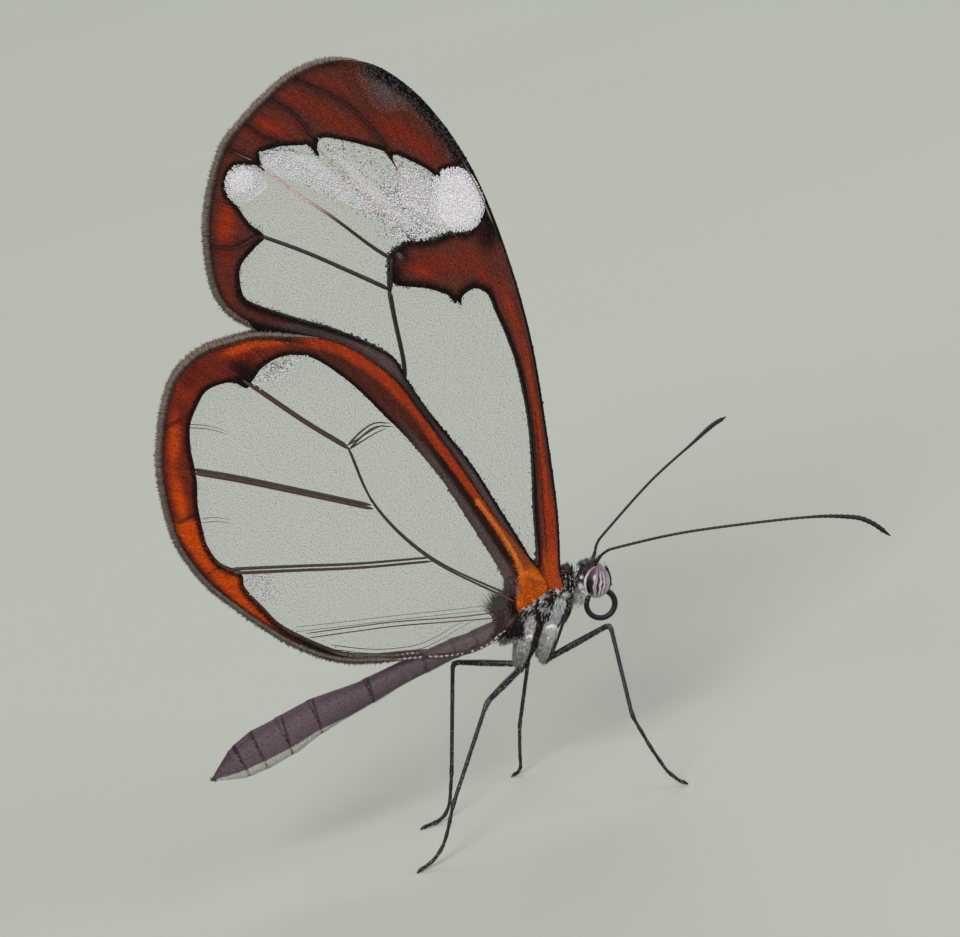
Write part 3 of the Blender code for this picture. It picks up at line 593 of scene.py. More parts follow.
HIND_RIDGES = (
    (((0.1, 1.5), (-0.75, 4.6), (-1.6, 7.2), (-3.0, 11.4), (-4.4, 14.3), (-6.1, 16.45),
      (-7.5, 17.35), (-9.0, 17.95), (-12.4, 18.2)), 0.05, 0.03),
    (((-1.2, 2.2), (-1.9, 4.7), (-3.35, 9.3), (-5.0, 13.2), (-6.9, 16.1), (-8.7, 17.3)),
     0.05, 0.03),
    (((-11.3, 16.7), (-12.4, 17.9)), 0.05, 0.04),
    (((-14.6, 15.1), (-15.8, 15.5)), 0.05, 0.04),
    (((-14.9, 12.8), (-16.3, 13.4)), 0.05, 0.04),
    (((-15.3, 10.3), (-16.6, 10.85)), 0.05, 0.04),
    (((-14.6, 7.35), (-16.1, 7.9)), 0.05, 0.04),
    (((-1.75, 7.0), (-0.97, 4.75), (-0.7, 2.9), (-1.05, 2.1), (-1.15, 1.25)), 0.05, 0.04),
    (((-0.7, 2.87), (-0.25, 2.62), (0.3, 2.15)), 0.04, 0.03),
)
WHITE_BAND = smooth_line(((-9.2, 25.9), (-7.6, 25.7), (-5.4, 25.3), (-3.4, 24.2), (-1.4, 22.9),
                          (0.4, 22.2), (2.7, 22.0)), LINE_STEP)


def vein_colours(points, colour_at, dark):
    """Near black in the glass, pinkish in the white band, and rusty towards the hinge."""
    colours = np.tile(paint("#1a0f0d"), (len(points), 1))
    rust = fade(points[:, 1], 1.6, 2.6) * fade(-points[:, 0], 3.2, 6.5)
    colours = tinge(colours, 0.8 * rust, paint("#6b3a22"))
    pale = fade(distance_to(points, WHITE_BAND), 1.0, 1.9)
    colours = tinge(colours, 0.9 * pale * (points[:, 1] > 20.5), PINK_VEIN)
    return colours if dark else 0.45 * colour_at(points) + 0.35 * colours


def make_veins(name, side, over, colour_at, *groups):
    """The tubes of one wing's veins: those in the glass, and those under the scales."""
    meshes = []
    for dark, veins in zip((True, False), groups):
        tubes = []
        for knots, first, last in veins:
            flat = smooth_line(knots, 0.3)
            depth = wing_depth(flat, over)
            line = np.column_stack([flat[:, 0], side * depth, flat[:, 1]])
            radii = np.linspace(first, last, len(line))
            radii[[0, -1]] *= 0.35
            tubes.append(sweep(line, [(radius, radius * 0.8) for radius in radii], 8))
        mesh, places = mesh_of(gathered(tubes))
        colours = vein_colours(places[:, [0, 2]], colour_at, dark)
        # Painted sheen: a rusty stripe along the outward-facing crest of each hindwing vein tube.
        sheen_crest = np.abs(places[:, 1]) - wing_depth(places[:, [0, 2]], over)
        sheen_crest = fade(-sheen_crest, -0.06, -0.03) * (over > 0.0)
        lay_pigment(mesh, tinge(colours, 0.3 * sheen_crest, paint("#6b3a22")))
        meshes.append(mesh)
    whole = bmesh.new()
    for mesh in meshes:
        whole.from_mesh(mesh)
        bpy.data.meshes.remove(mesh)
    mesh, places = mesh_of(whole)
    wing, veins, word = name.split("_")
    return set_down(name, mesh, chitin_finish, "cuticle", wing + "_" + word)


# %% [markdown]
# ## The membrane and the sheet under the scales
# The clear membrane is one thin closed sheet per wing. The scaly border has an opaque sheet of
# its own, filled between the edge and the pane and cut into small triangles, so that it can carry
# the same pattern as the scales that cover it.

# %% Fill a flat outline
MEMBRANE_THICK = 0.02
SHEET_THICK = 0.05


def flat_sheet(loops, longest, side, over, thick):
    """A thin closed sheet inside the first loop and outside the others."""
    shape = bmesh.new()
    for loop in loops:
        verts = [shape.verts.new((x, 0.0, z)) for x, z in loop[:-1]]
        for one, two in zip(verts, verts[1:] + verts[:1]):
            shape.edges.new((one, two))
    bmesh.ops.triangle_fill(shape, use_beauty=True, edges=shape.edges[:], normal=(0.0, 1.0, 0.0))
    for step in range(7):
        wide = [edge for edge in shape.edges if edge.calc_length() > longest]
        if not wide:
            break
        bmesh.ops.subdivide_edges(shape, edges=wide, cuts=1)
        bmesh.ops.triangulate(shape, faces=shape.faces[:])
        inner = [edge for edge in shape.edges if len(edge.link_faces) == 2]
        bmesh.ops.beautify_fill(shape, faces=shape.faces[:], edges=inner, method="ANGLE")
    flat = np.array([(vert.co.x, vert.co.z) for vert in shape.verts])
    for vert, depth in zip(shape.verts, wing_depth(flat, over)):
        vert.co.y = side * (depth - thick / 2)
    grown = bmesh.ops.extrude_face_region(shape, geom=shape.faces[:], use_keep_orig=True)
    lifted = [item for item in grown["geom"] if isinstance(item, bmesh.types.BMVert)]
    bmesh.ops.translate(shape, vec=(0.0, side * thick, 0.0), verts=lifted)
    bmesh.ops.recalc_face_normals(shape, faces=shape.faces)
    return shape


for side, word in SIDES:
    for wing, edge, over in (("forewing", FORE_EDGE, 0.0), ("hindwing", HIND_EDGE, HIND_OVER)):
        mesh, places = mesh_of(flat_sheet([edge], 0.6, side, over, MEMBRANE_THICK))
        set_down(wing + "_membrane_" + word, mesh, clear_finish, "wing_membrane",
                 wing + "_" + word)

# %% [markdown]
# ## The colour pattern
# One function per wing says which colour the wing has at a point. It starts from the brick red of
# the border, lays the orange patches on it, darkens it along the pane and the margin, paints
# shadow beside the raised veins near the forewing's tip and highlight and shade at the hindwing's
# base, and greys it at the tip. Both the sheet and the scales ask this function, so they always
# agree.

# %% Colour of the forewing
FORE_TRACKS = [smooth_line(knots, LINE_STEP) for knots, first, last in FORE_RIDGES]
HIND_TRACKS = [smooth_line(knots, LINE_STEP) for knots, first, last in HIND_RIDGES]
FORE_RED = paint("#842a18")
FORE_BRIGHT = (
    ((-6.35, 28.15), 0.9, 0.34, -40.0, 1.0), ((-5.3, 28.0), 0.55, 0.3, -50.0, 0.5),
    ((-4.6, 28.9), 1.2, 0.4, -45.0, 0.65), ((-3.1, 29.3), 1.1, 0.4, -45.0, 0.5),
    ((-3.3, 27.6), 1.1, 0.40, -48.0, 0.75), ((-0.55, 26.2), 1.25, 0.5, -48.0, 0.85),
    ((0.55, 25.0), 1.0, 0.38, -62.0, 0.7), ((-1.8, 26.9), 0.8, 0.4, -50.0, 0.6),
    ((-9.75, 24.1), 1.15, 0.42, 70.0, 1.0), ((-10.2, 22.6), 0.6, 0.35, 80.0, 0.7),
    ((-10.75, 21.0), 1.3, 0.3, 92.0, 0.5), ((-10.2, 19.6), 0.6, 0.25, -40.0, 0.2),
    ((-1.15, 19.1), 0.8, 0.3, -42.0, 1.0), ((-0.4, 19.35), 1.0, 0.45, -30.0, 0.7),
    ((1.6, 18.2), 1.4, 0.35, -72.0, 0.7), ((0.8, 18.9), 0.9, 0.5, 0.0, 0.5),
    ((-8.7, 27.2), 0.5, 0.25, -50.0, 0.5), ((-7.3, 28.2), 0.9, 0.3, -45.0, 0.7),
)
FORE_GLOW = (((-6.35, 28.15), 0.7, 0.28, -40.0, 0.5), ((-9.8, 24.1), 1.0, 0.42, 70.0, 0.8),
             ((-1.2, 19.1), 0.6, 0.2, -42.0, 0.5))
FORE_DARK = (((-2.6, 19.3), 0.6, 0.9, 0.0, 0.95), ((2.4, 19.9), 0.9, 0.55, 75.0, 0.95),
             ((-2.0, 20.4), 0.8, 0.35, -60.0, 0.95))
DUSK_EDGE = smooth_line(((-1.5, 30.0), (-1.6, 29.05), (-1.35, 28.0), (-0.95, 27.25),
                         (0.15, 26.95), (0.9, 26.1), (1.4, 25.0), (1.6, 24.0), (1.95, 23.5),
                         (4.0, 23.2), (4.0, 31.5), (-1.5, 31.5), (-1.5, 30.0)), LINE_STEP)


def fore_colours(points):
    """The forewing's colour at each point of its plane."""
    x, z = points.T
    rim = distance_to(points, FORE_RIM)
    pane = distance_to(points, FORE_PANE)
    colours = np.tile(BROWN_RED, (len(points), 1))
    band = fade(z, 16.0, 18.0) * fade(-x, 1.0, 1.6)
    outer_share = rim / (rim + pane)
    low = fade(z, 4.0, 7.5)
    streak = fade(np.abs(outer_share - 0.5 + 0.15 * low), 0.10 + 0.12 * low, 0.26 + 0.16 * low)
    colours = tinge(colours, band * (0.45 + 0.45 * fade(z, 8.0, 15.0)) * streak, ORANGE)
    inner_line = fade(np.abs(outer_share - 0.62), 0.02, 0.07) * fade(z, 9.0, 13.0) * band
    colours = tinge(colours, 0.8 * inner_line, DARK)
    colours = spotted(colours, points, FORE_BRIGHT, FORE_RED)
    colours = spotted(colours, points, FORE_GLOW, ORANGE)
    dusk = within(points, DUSK_EDGE) * fade(distance_to(points, DUSK_EDGE), 0.7, 0.0)
    near_dusk = fade(distance_to(points, DUSK_EDGE), 0.0, 0.9) * (1.0 - within(points, DUSK_EDGE))
    colours = tinge(colours, 0.15 * near_dusk * (z > 23.0), DARK)
    colours = tinge(colours, 0.95 * dusk, GREY_BROWN)
    hind = distance_to(points, FORE_TRACKS[2])
    colours = tinge(colours, fade(hind, 0.5, 0.9) * fade(-z, -18.2, -19.0) * fade(x, 0.0, 0.3),
                    PURPLE_GREY)
    colours = tinge(colours, fade(z, 2.6, 4.0) * fade(-x, -0.7, -0.4), paint("#c04a10"))
    # Painted shadow: the colour is darkened, then blackened, beside the raised veins of the tip.
    for track in FORE_TRACKS[3:]:
        near = distance_to(points, track)
        colours = tinge(colours, 0.35 * fade(near, 0.10, 0.55), DARK)
        colours = tinge(colours, 0.7 * fade(near, 0.05, 0.16), BLACK)
    colours = spotted(colours, points, FORE_DARK, BLACK)
    colours = spotted(colours, points, (((-2.1, 20.35), 0.35, 0.12, -62.0, 0.7),), PALE_LILAC)
    bar = fade(np.abs(z - 19.0), 1.6, 2.6) * fade(x, 1.8, 2.4)
    colours = tinge(colours, fade(pane, 0.08, 0.28 + 0.22 * bar), BLACK)
    colours = tinge(colours, 0.7 * fade(rim, 0.38, 0.8) * fade(x, -3.0, -1.0), DARK)
    colours = tinge(colours, fade(rim, 0.36, 0.56) * fade(x, -3.5, -1.0), BLACK)
    edge_width = 0.10 + 0.35 * fade(-z, -21.0, -19.0)
    colours = tinge(colours, fade(rim, edge_width, edge_width * 1.9) * fade(-x, 0.5, 2.0), BLACK)
    return colours


# %% Colour of the hindwing
HIND_BRIGHT = (
    ((-15.35, 14.6), 1.4, 0.30, 72.0, 0.85), ((-15.95, 11.6), 1.5, 0.30, 86.0, 1.0),
    ((-10.8, 18.05), 1.0, 0.24, 4.0, 1.0), ((-9.0, 17.8), 1.2, 0.22, -10.0, 0.85),
    ((-14.3, 16.9), 0.9, 0.32, -52.0, 0.35),
)
HIND_BREAKS = (((-15.3, 15.4), 0.75, 0.14, 12.0, 0.8), ((-16.0, 10.6), 0.8, 0.11, 12.0, 0.8),
               ((-15.2, 7.75), 0.8, 0.09, 16.0, 0.6), ((-13.7, 5.0), 0.6, 0.08, 35.0, 0.6),
               ((-11.0, 17.0), 0.85, 0.5, -30.0, 1.0), ((-11.3, 16.5), 0.6, 0.4, 0.0, 1.1),
               ((-13.9, 17.2), 0.9, 0.3, 35.0, 0.35))
ORANGE_MIDDLE = smooth_line(((-16.1, 10.6), (-15.93, 9.76), (-15.55, 8.58), (-15.08, 7.49),
                             (-14.5, 6.37), (-13.93, 5.15), (-13.24, 4.08), (-12.48, 3.20),
                             (-11.9, 2.75)), LINE_STEP)
STRAP_LINE = np.array(((1.42, -1.29), (2.26, -1.0), (2.95, -0.75), (3.7, -0.86), (4.89, -1.17),
                       (6.69, -1.72), (8.39, -2.3), (9.19, -2.6), (10.73, -3.21), (13.0, -4.1)))
STREAK_LINE = np.array(((4.2, -0.5), (5.21, -0.81), (6.74, -1.18), (8.19, -1.66), (10.3, -2.5),
                        (11.62, -2.96), (13.0, -3.45)))


def hind_colours(points):
    """The hindwing's colour at each point of its plane."""
    x, z = points.T
    rim = distance_to(points, HIND_RIM)
    pane = distance_to(points, HIND_PANE)
    colours = np.tile(paint("#74291a"), (len(points), 1))
    colours = spotted(colours, points, HIND_BRIGHT, BRIGHT)
    middle = distance_to(points, ORANGE_MIDDLE)
    colours = tinge(colours, fade(middle, 0.32, 0.60) * (z < 10.6), BRIGHT)
    strap = fade(-x, 7.8, 9.3) * fade(-z, -0.3, 0.2)
    colours = tinge(colours, strap, MAROON)
    out_line = distance_to(points, HIND_TRACKS[0])
    colours = tinge(colours, strap * fade(out_line, 0.16, 0.42), ORANGE)
    base = fade(z, 4.6, 6.2) * fade(-x, 1.3, 2.1)
    off = x - np.interp(z, *STRAP_LINE.T)
    low = fade(z, 9.5, 12.5) * strap
    colours = tinge(colours, 0.9 * low * fade(-off, -0.05, 0.05), ORANGE)
    colours = tinge(colours, 0.8 * base, paint("#8a4724"))
    colours = tinge(colours, fade(z, 2.7, 3.2) * base, paint("#e0620f"))
    # Painted shade: a darker spot in the middle of the hindwing's base triangle.
    colours = tinge(colours, 0.6 * spot(points, (-0.15, 2.3), 0.5, 0.3, -42.0), paint("#8a4520"))
    streaks = np.sin((z * 1.18 + x * 0.32) * 52.0)
    grey = tinge(np.tile(PURPLE_GREY, (len(points), 1)), 0.4 * (streaks > 0.2), PALE_LILAC)
    grey_side = x - np.interp(z, *STREAK_LINE.T)
    colours = tinge(colours, 0.85 * low * fade(-z, -5.5, -4.0) * fade(-grey_side, -0.06, 0.06),
                    grey)
    colours = tinge(colours, low * fade(off, -0.08, 0.0), DARK)
    colours = tinge(colours, 0.8 * low * fade(off, -0.58, -0.36), paint("#6a5955"))
    # Painted highlight: bright orange lines along the two veins at the hindwing's base.
    for track in HIND_TRACKS[-2:]:
        colours = tinge(colours, 0.9 * fade(distance_to(points, track), 0.06, 0.16),
                        paint("#ea7a26"))
    strip = distance_to(points, HIND_TRACKS[1])
    colours = tinge(colours, 0.75 * strap * fade(strip, 0.18, 0.45) * fade(z, 9.5, 13.0),
                    PURPLE_GREY)
    colours = spotted(colours, points, HIND_BREAKS, BLACK, 0.9)
    outer = fade(x, -8.6, -7.2)
    colours = tinge(colours, (1.0 - base) * (1.0 - 0.7 * low) * fade(pane, 0.06, 0.30), BLACK)
    colours = tinge(colours, outer * fade(rim, 0.44, 0.60), DARK)
    colours = tinge(colours, (1.0 - outer) * fade(rim, 0.06, 0.16), DARK)
    lower = fade(z, 1.0, 1.7) * fade(x, -2.3, -1.7) * fade(-x, 9.2, 10.4)
    return tinge(colours, lower, paint("#4a3539"))


# %% Lay the veins
for side, word in SIDES:
    make_veins("forewing_veins_" + word, side, 0.0, fore_colours, FORE_VEINS, FORE_RIDGES)
    make_veins("hindwing_veins_" + word, side, HIND_OVER, hind_colours, HIND_VEINS, HIND_RIDGES)

# %% Lay the border sheets
for side, word in SIDES:
    for wing, loops, over, colour_at in (
            ("forewing", [FORE_EDGE, FORE_PANE], 0.0, fore_colours),
            ("hindwing", [HIND_EDGE, HIND_PANE], HIND_OVER, hind_colours)):
        mesh, places = mesh_of(flat_sheet(loops, 0.3, side, over, SHEET_THICK))
        # The sheet under the scales is painted 15 % darker, as painted shade between them.
        lay_pigment(mesh, 0.85 * colour_at(places[:, [0, 2]]))
        set_down(wing + "_border_" + word, mesh, scale_finish, "wing_scales",
                 wing + "_" + word)

# %% [markdown]
# ## Scales on the wings
# The scales grow in rows and point away from the hinge. They are a seventh of a millimetre long
# here, a little more than the real length, because smaller ones would not show. Their colour
# varies in faint rays, as the rows do. The outer faces get close rows, and the hidden inner faces
# get wider ones.

# %% Cover the borders with scales
SCALE_LONG = 0.14
SCALE_WIDE = 0.075
OUTER_PITCH = (0.062, 0.062)
INNER_PITCH = (0.16, 0.16)
WING_BOX = ((-17.2, -0.6), (3.4, 30.9))
HIND_CENTRE = np.array((-1.5, 3.0))
CELL_END = np.array((1.6, 17.0))
RAYS = ((170.0, 0.0, 0.10), (413.0, 1.3, 0.08), (97.0, 0.5, 0.06))


def wing_patches(points, face):
    """The place of each root on the flat map: outer faces to the left, inner to the right."""
    low, high = (np.array(corner) for corner in WING_BOX)
    shares = (points - low) / (high - low)
    return np.column_stack([0.01 + 0.47 * shares[:, 0] + 0.5 * face,
                            MAP_EDGE + MAP_SPAN * shares[:, 1]])


def scale_angle(points, over):
    """Scales point along the nearest veins, away from where these spread."""
    if over:
        away = points - HIND_CENTRE
    else:
        high = fade(-points[:, 1], -20.0, -15.0)[:, None]
        away = points - (HINGE + (CELL_END - HINGE) * high)
    return np.arctan2(away[:, 1], away[:, 0])


def laid_flat(points, angle, side, face, over, sizes, colours, raised=0.0):
    """Roots, directions and patches of scales that lie on one face of a wing."""
    outward = np.tile((0.0, side * (1.0 - 2.0 * face), 0.0), (len(points), 1))
    depth = wing_depth(points, over)
    reach = 0.1
    steps = np.column_stack([np.cos(angle), np.sin(angle)]) * reach
    slope = (wing_depth(points + steps, over) - depth) / reach
    depth = depth + (SHEET_THICK / 2 + raised) * (1.0 - 2.0 * face)
    roots = np.column_stack([points[:, 0], side * depth, points[:, 1]])
    along = np.column_stack([np.cos(angle), side * slope, np.sin(angle)])
    return roots, along, outward, sizes, colours, wing_patches(points, face)


def varied(count, long, wide, lift, random):
    """Sizes of scales or hairs, each a little different."""
    spread = np.exp(random.normal(0.0, 0.14, (count, 3)))
    return spread * np.array((long, wide, lift))


def stack_kites(name, groups, finish, slot, **settings):
    """Join several groups of scales into one piece."""
    kites(name, *[np.concatenate(rows) for rows in zip(*groups)], finish, slot, **settings)


def border_scales(name, side, edge, pane, over, colour_at, seed):
    """The scales on both faces of one wing's border."""
    random = np.random.default_rng(seed)
    groups = []
    for face, pitch in ((0, OUTER_PITCH), (1, INNER_PITCH)):
        points = scattered(*WING_BOX, *pitch, random)
        points = points[within(points, edge)]
        points = points[~within(points, pane)]
        rays = scale_angle(points, over)
        angle = rays + random.normal(0.0, 0.18, len(points))
        sizes = varied(len(points), SCALE_LONG, SCALE_WIDE, 0.010, random)
        sizes[:, :2] *= 1.6 if face else 1.0
        tips = points + np.column_stack([np.cos(angle), np.sin(angle)]) * sizes[:, [0]]
        kept = within(tips, edge) & (~within(tips, pane) | (random.random(len(tips)) < 0.5))
        points, angle, sizes, rays = points[kept], angle[kept], sizes[kept], rays[kept]
        rough = random.normal(0.0, 0.15, len(points))
        for count, start, amount in RAYS:
            rough += amount * np.sin(rays * count + start)
        colours = colour_at(points) * np.exp(rough)[:, None]
        grey = (random.random(len(points)) < 0.03) * 0.10 * (points[:, 1] > 17.0)
        dusk = (random.random(len(points)) < 0.25) * within(points, DUSK_EDGE) * (over == 0.0)
        colours = tinge(colours, np.maximum(grey, 0.22 * dusk), PALE_LILAC)
        groups.append(laid_flat(points, angle, side, face, over, sizes, colours))
    # The border scales' tips get a slight painted highlight.
    stack_kites(name, groups, scale_finish, "wing_scales", shoulder=0.75, tip_light=1.1,
                nodes=(name.replace("_scales", ""),))


for side, word in SIDES:
    border_scales("forewing_scales_" + word, side, FORE_EDGE, FORE_PANE, 0.0, fore_colours,
                  101 + side)
    border_scales("hindwing_scales_" + word, side, HIND_EDGE, HIND_PANE, HIND_OVER, hind_colours,
                  201 + side)

# %% [markdown]
# ## The white band
# Across the forewing's window runs a band of white scales. It is solid at both ends and thin
# between, where the glass shows through, so the number of scales follows a density. Milky strips
# of membrane between the veins lie under it. A few white scales also stand in two corners of the
# hindwing's window. Here too grow the tiny bristles that give the clear glass its grain.

# %% Scatter the white scales and the bristles
WHITE_PITCH = (0.055, 0.055)
BRISTLE_PITCH = (0.125, 0.11)
WHITE_BLOBS = (
    ((-6.2, 26.35), 1.1, 0.5, -42.0, 0.65), ((-5.0, 25.2), 2.1, 0.45, -50.0, 0.45),
    ((-3.1, 23.5), 1.7, 0.5, -54.0, 0.5), ((-0.3, 22.2), 1.9, 0.8, -36.0, 0.9),
    ((-2.6, 25.0), 2.3, 0.7, -45.0, 0.12), ((-0.3, 23.4), 1.3, 0.5, -48.0, 0.55),
    ((-1.4, 21.9), 1.2, 0.5, -42.0, 0.85), ((0.3, 23.2), 0.8, 0.4, -50.0, 0.6),
    ((-0.8, 21.2), 1.3, 0.45, -12.0, 0.9), ((0.4, 21.8), 1.0, 0.9, -30.0, 1.0),
)
LOBE_AT = (-8.5, 26.0)
LOBE_SIZE = (0.85, 0.75)
WHITE_PATCH = smooth_line(((0.75, 23.45), (1.3, 23.6), (1.98, 23.48), (2.5, 22.95), (2.68, 22.19),
                           (2.72, 21.4), (2.35, 20.85), (1.8, 20.4), (0.9, 20.6), (0.1, 21.0),
                           (-0.35, 21.5), (-0.1, 22.3), (0.35, 23.0)), 0.2, closed=True)
PATCH_HEART = smooth_line(((0.95, 23.2), (1.4, 23.35), (1.9, 23.2), (2.3, 22.75), (2.45, 22.1),
                           (2.45, 21.4), (2.15, 21.0), (1.7, 20.7), (1.0, 20.85), (0.5, 21.2),
                           (0.4, 21.9), (0.65, 22.7)), 0.2, closed=True)
LOBE_HEART = smooth_line(((-9.1, 26.0), (-8.75, 26.5), (-8.2, 26.55), (-7.9, 26.2),
                          (-8.1, 25.75), (-8.65, 25.55)), 0.2, closed=True)
MILKY_STRIPS = (
    ((-7.1, 26.95), (-6.1, 26.9), (-5.0, 26.35), (-4.6, 26.0), (-3.7, 24.7), (-2.8, 23.3),
     (-2.45, 22.6), (-3.3, 23.0), (-4.5, 24.1), (-5.6, 25.1), (-6.6, 25.7), (-7.3, 26.3)),
    ((-3.9, 26.0), (-3.2, 25.5), (-2.4, 24.2), (-1.5, 22.8), (-0.9, 21.6), (-1.6, 21.5),
     (-2.3, 22.6), (-3.0, 24.0)),
    ((-0.95, 24.4), (-0.2, 23.9), (0.7, 23.0), (0.85, 21.8), (0.8, 20.9), (0.0, 21.1),
     (-0.7, 21.7), (-1.2, 22.8)),
    ((-9.2, 25.8), (-8.6, 26.6), (-7.9, 26.65), (-7.5, 26.2), (-7.3, 25.5), (-7.8, 25.2),
     (-8.4, 25.0), (-9.0, 25.2)),
)
HIND_MILKY = (((-13.2, 6.0), 0.75, 0.5, -60.0, 0.4), ((-9.5, 16.4), 1.1, 0.4, 8.0, 0.4))


def white_solid(points):
    """Where the white is solid: the lobe at the outer end and the patch at the front edge."""
    x, z = points.T
    lobe = np.hypot((x - LOBE_AT[0]) / LOBE_SIZE[0], (z - LOBE_AT[1]) / LOBE_SIZE[1])
    fall = 0.6 + 0.4 * fade(-z + 0.4 * x, -29.1, -28.4)
    inside = within(points, WHITE_PATCH)
    edge = distance_to(points, WHITE_PATCH) * np.where(inside, 1.0, -1.0)
    front = fade(-x, -1.0, 0.0)
    patch = fade(-edge, -0.02 - 0.5 * (1.0 - front), 0.12)
    return np.maximum(fade(lobe, 0.8, 1.25) * fall, patch)


def white_density(points, blobs=WHITE_BLOBS):
    """How closely the white scales stand at each point of a wing's pane."""
    density = np.zeros(len(points))
    for centre, long, wide, turn, amount in blobs:
        density = np.maximum(density, amount * spot(points, centre, long, wide, turn))
    across = points @ np.array((0.79, 0.61))
    streaks = 0.78 + 0.22 * np.sin(across * 15.0 + 0.7 * np.sin(across * 41.0))
    return np.clip(np.maximum(density * streaks, white_solid(points)), 0.0, 1.0)


def white_scales(name, side, pane, over, blobs, seed):
    """White scales on both faces of a wing's window."""
    random = np.random.default_rng(seed)
    groups = []
    for face in (0, 1):
        pitch = WHITE_PITCH if face == 0 else INNER_PITCH
        points = scattered(*WING_BOX, *pitch, random)
        points = points[within(points, pane)]
        points = points[random.random(len(points)) < white_density(points, blobs)]
        angle = scale_angle(points, over) + random.normal(0.0, 0.2, len(points))
        colours = WHITE * np.exp(random.normal(0.0, 0.03, (len(points), 1)))
        sizes = varied(len(points), SCALE_LONG * 0.85, SCALE_WIDE, 0.003, random)
        groups.append(laid_flat(points, angle, side, face, over, sizes, colours, 0.006))
    stack_kites(name, groups, scale_finish, "wing_scales", shoulder=0.8, tip_light=1.0,
                root_light=1.0, nodes=(name.replace("_white_scales", ""),))


def white_sheets(word, side):
    """Thin milky films between the veins, and opaque sheets under the solid white ends."""
    films = [flat_sheet([smooth_line(loop, 0.3, closed=True)], 0.6, side,
                        0.018 - 0.002 * number, 0.001)
             for number, loop in enumerate(MILKY_STRIPS)]
    mesh, places = mesh_of(gathered(films))
    set_down("milky_band_" + word, mesh, milky_finish, "wing_scales", "forewing_" + word)
    ends = [flat_sheet([loop], 0.4, side, 0.0, SHEET_THICK) for loop in (LOBE_HEART, PATCH_HEART)]
    mesh, places = mesh_of(gathered(ends))
    lay_pigment(mesh, np.tile(WHITE, (len(places), 1)))
    set_down("white_ends_" + word, mesh, scale_finish, "wing_scales", "forewing_" + word)


def window_bristles(name, side, pane, over, seed):
    """Fine short bristles that stand thinly all over the clear part."""
    random = np.random.default_rng(seed)
    points = scattered(*WING_BOX, *BRISTLE_PITCH, random)
    points = points[within(points, pane)]
    points = points[(over > 0.0) | (white_density(points) < 0.1)]
    count = len(points)
    colours = paint("#5d5650") * np.exp(random.normal(0.0, 0.25, (count, 1)))
    sizes = varied(count, 0.055, 0.022, 0.012, random)
    angle = scale_angle(points, over) + random.normal(0.0, 0.5, count)
    rows = laid_flat(points, angle, side, 0, over, sizes, colours)
    stack_kites(name, [rows], scale_finish, "wing_scales", nodes=(name.replace("_bristles", ""),))


for side, word in SIDES:
    white_sheets(word, side)
    white_scales("forewing_white_scales_" + word, side, FORE_PANE, 0.0, WHITE_BLOBS, 301 + side)
    white_scales("hindwing_white_scales_" + word, side, HIND_PANE, HIND_OVER, HIND_MILKY,
                 311 + side)
    window_bristles("forewing_bristles_" + word, side, FORE_PANE, 0.0, 401 + side)
    window_bristles("hindwing_bristles_" + word, side, HIND_PANE, HIND_OVER, 501 + side)

# %% [markdown]
# ## Frayed pane edges and the fringe
# Where the scales end at the glass they are darker and longer and stick out unevenly. Along the
# outer margin the scales turn into a fringe of pale-tipped hairs, about a third of a millimetre
# long.

# %% Grow the pane's frayed edge and the fringe
def line_walk(line, pitch, random):
    """Points about a pitch apart along a closed line, with the inward direction at each."""
    run = np.concatenate([[0.0], np.cumsum(np.linalg.norm(np.diff(line, axis=0), axis=1))])
    places = np.arange(0.0, run[-1], pitch)
    places = places + random.normal(0.0, pitch * 0.3, len(places))
    spots = np.column_stack([np.interp(places, run, column) for column in line.T])
    ahead = np.column_stack([np.interp(places + 0.05, run, column) for column in line.T])
    heading = ahead - spots
    heading /= np.linalg.norm(heading, axis=1)[:, None] + 1e-9
    return spots, np.column_stack([-heading[:, 1], heading[:, 0]])


def frayed(pane, over, random):
    """Dark scales that thin out from the pane's edge into the glass."""
    points = scattered(*WING_BOX, 0.07, 0.07, random)
    points = points[within(points, pane)]
    off = distance_to(points, pane)
    chance = (0.15 + 0.6 * fade(-points[:, 1], -17.5, -16.0)) * np.exp(-off / 0.05)
    points = points[random.random(len(points)) < chance]
    angle = scale_angle(points, over) + random.normal(0.0, 0.5, len(points))
    sizes = varied(len(points), 0.12, 0.045, 0.010, random)
    colours = BLACK * np.exp(random.normal(0.0, 0.2, (len(points), 1)))
    return points, angle, sizes, colours


def fringe(rim, reach_at, layer, random):
    """One layer of the hairs that grow out of the outer margin."""
    spots, inward = line_walk(rim, 0.026, random)
    reach = np.array(reach_at(spots))
    kept = reach > 0.03
    spots, inward, reach = spots[kept], inward[kept], reach[kept]
    draped = fade(-spots[:, 0], 7.4, 8.0) * fade(spots[:, 1], 0.5, 0.8)
    spots = spots + inward * reach[:, None] * (1.0 + 0.1 * layer)
    angle = np.arctan2(-inward[:, 1], -inward[:, 0]) + random.normal(0.0, 0.17, len(spots))
    sizes = varied(len(spots), 1.0, 0.045, 0.02, random)
    sizes[:, 0] = reach * np.exp(random.normal(0.0, 0.14, len(spots))) * (0.75 + 0.18 * layer)
    share = random.random((len(spots), 1)) ** 1.6 * (0.35 + 0.3 * layer)
    base = PURPLE_GREY if layer == 0 else FRINGE
    colours = base * (1.0 - share) + FRINGE_TIP * share
    dots = draped * (np.sin(spots[:, 0] * 24.0) > -0.1)
    return spots, angle, sizes, tinge(colours, 0.85 * dots, HAIR_WHITE)


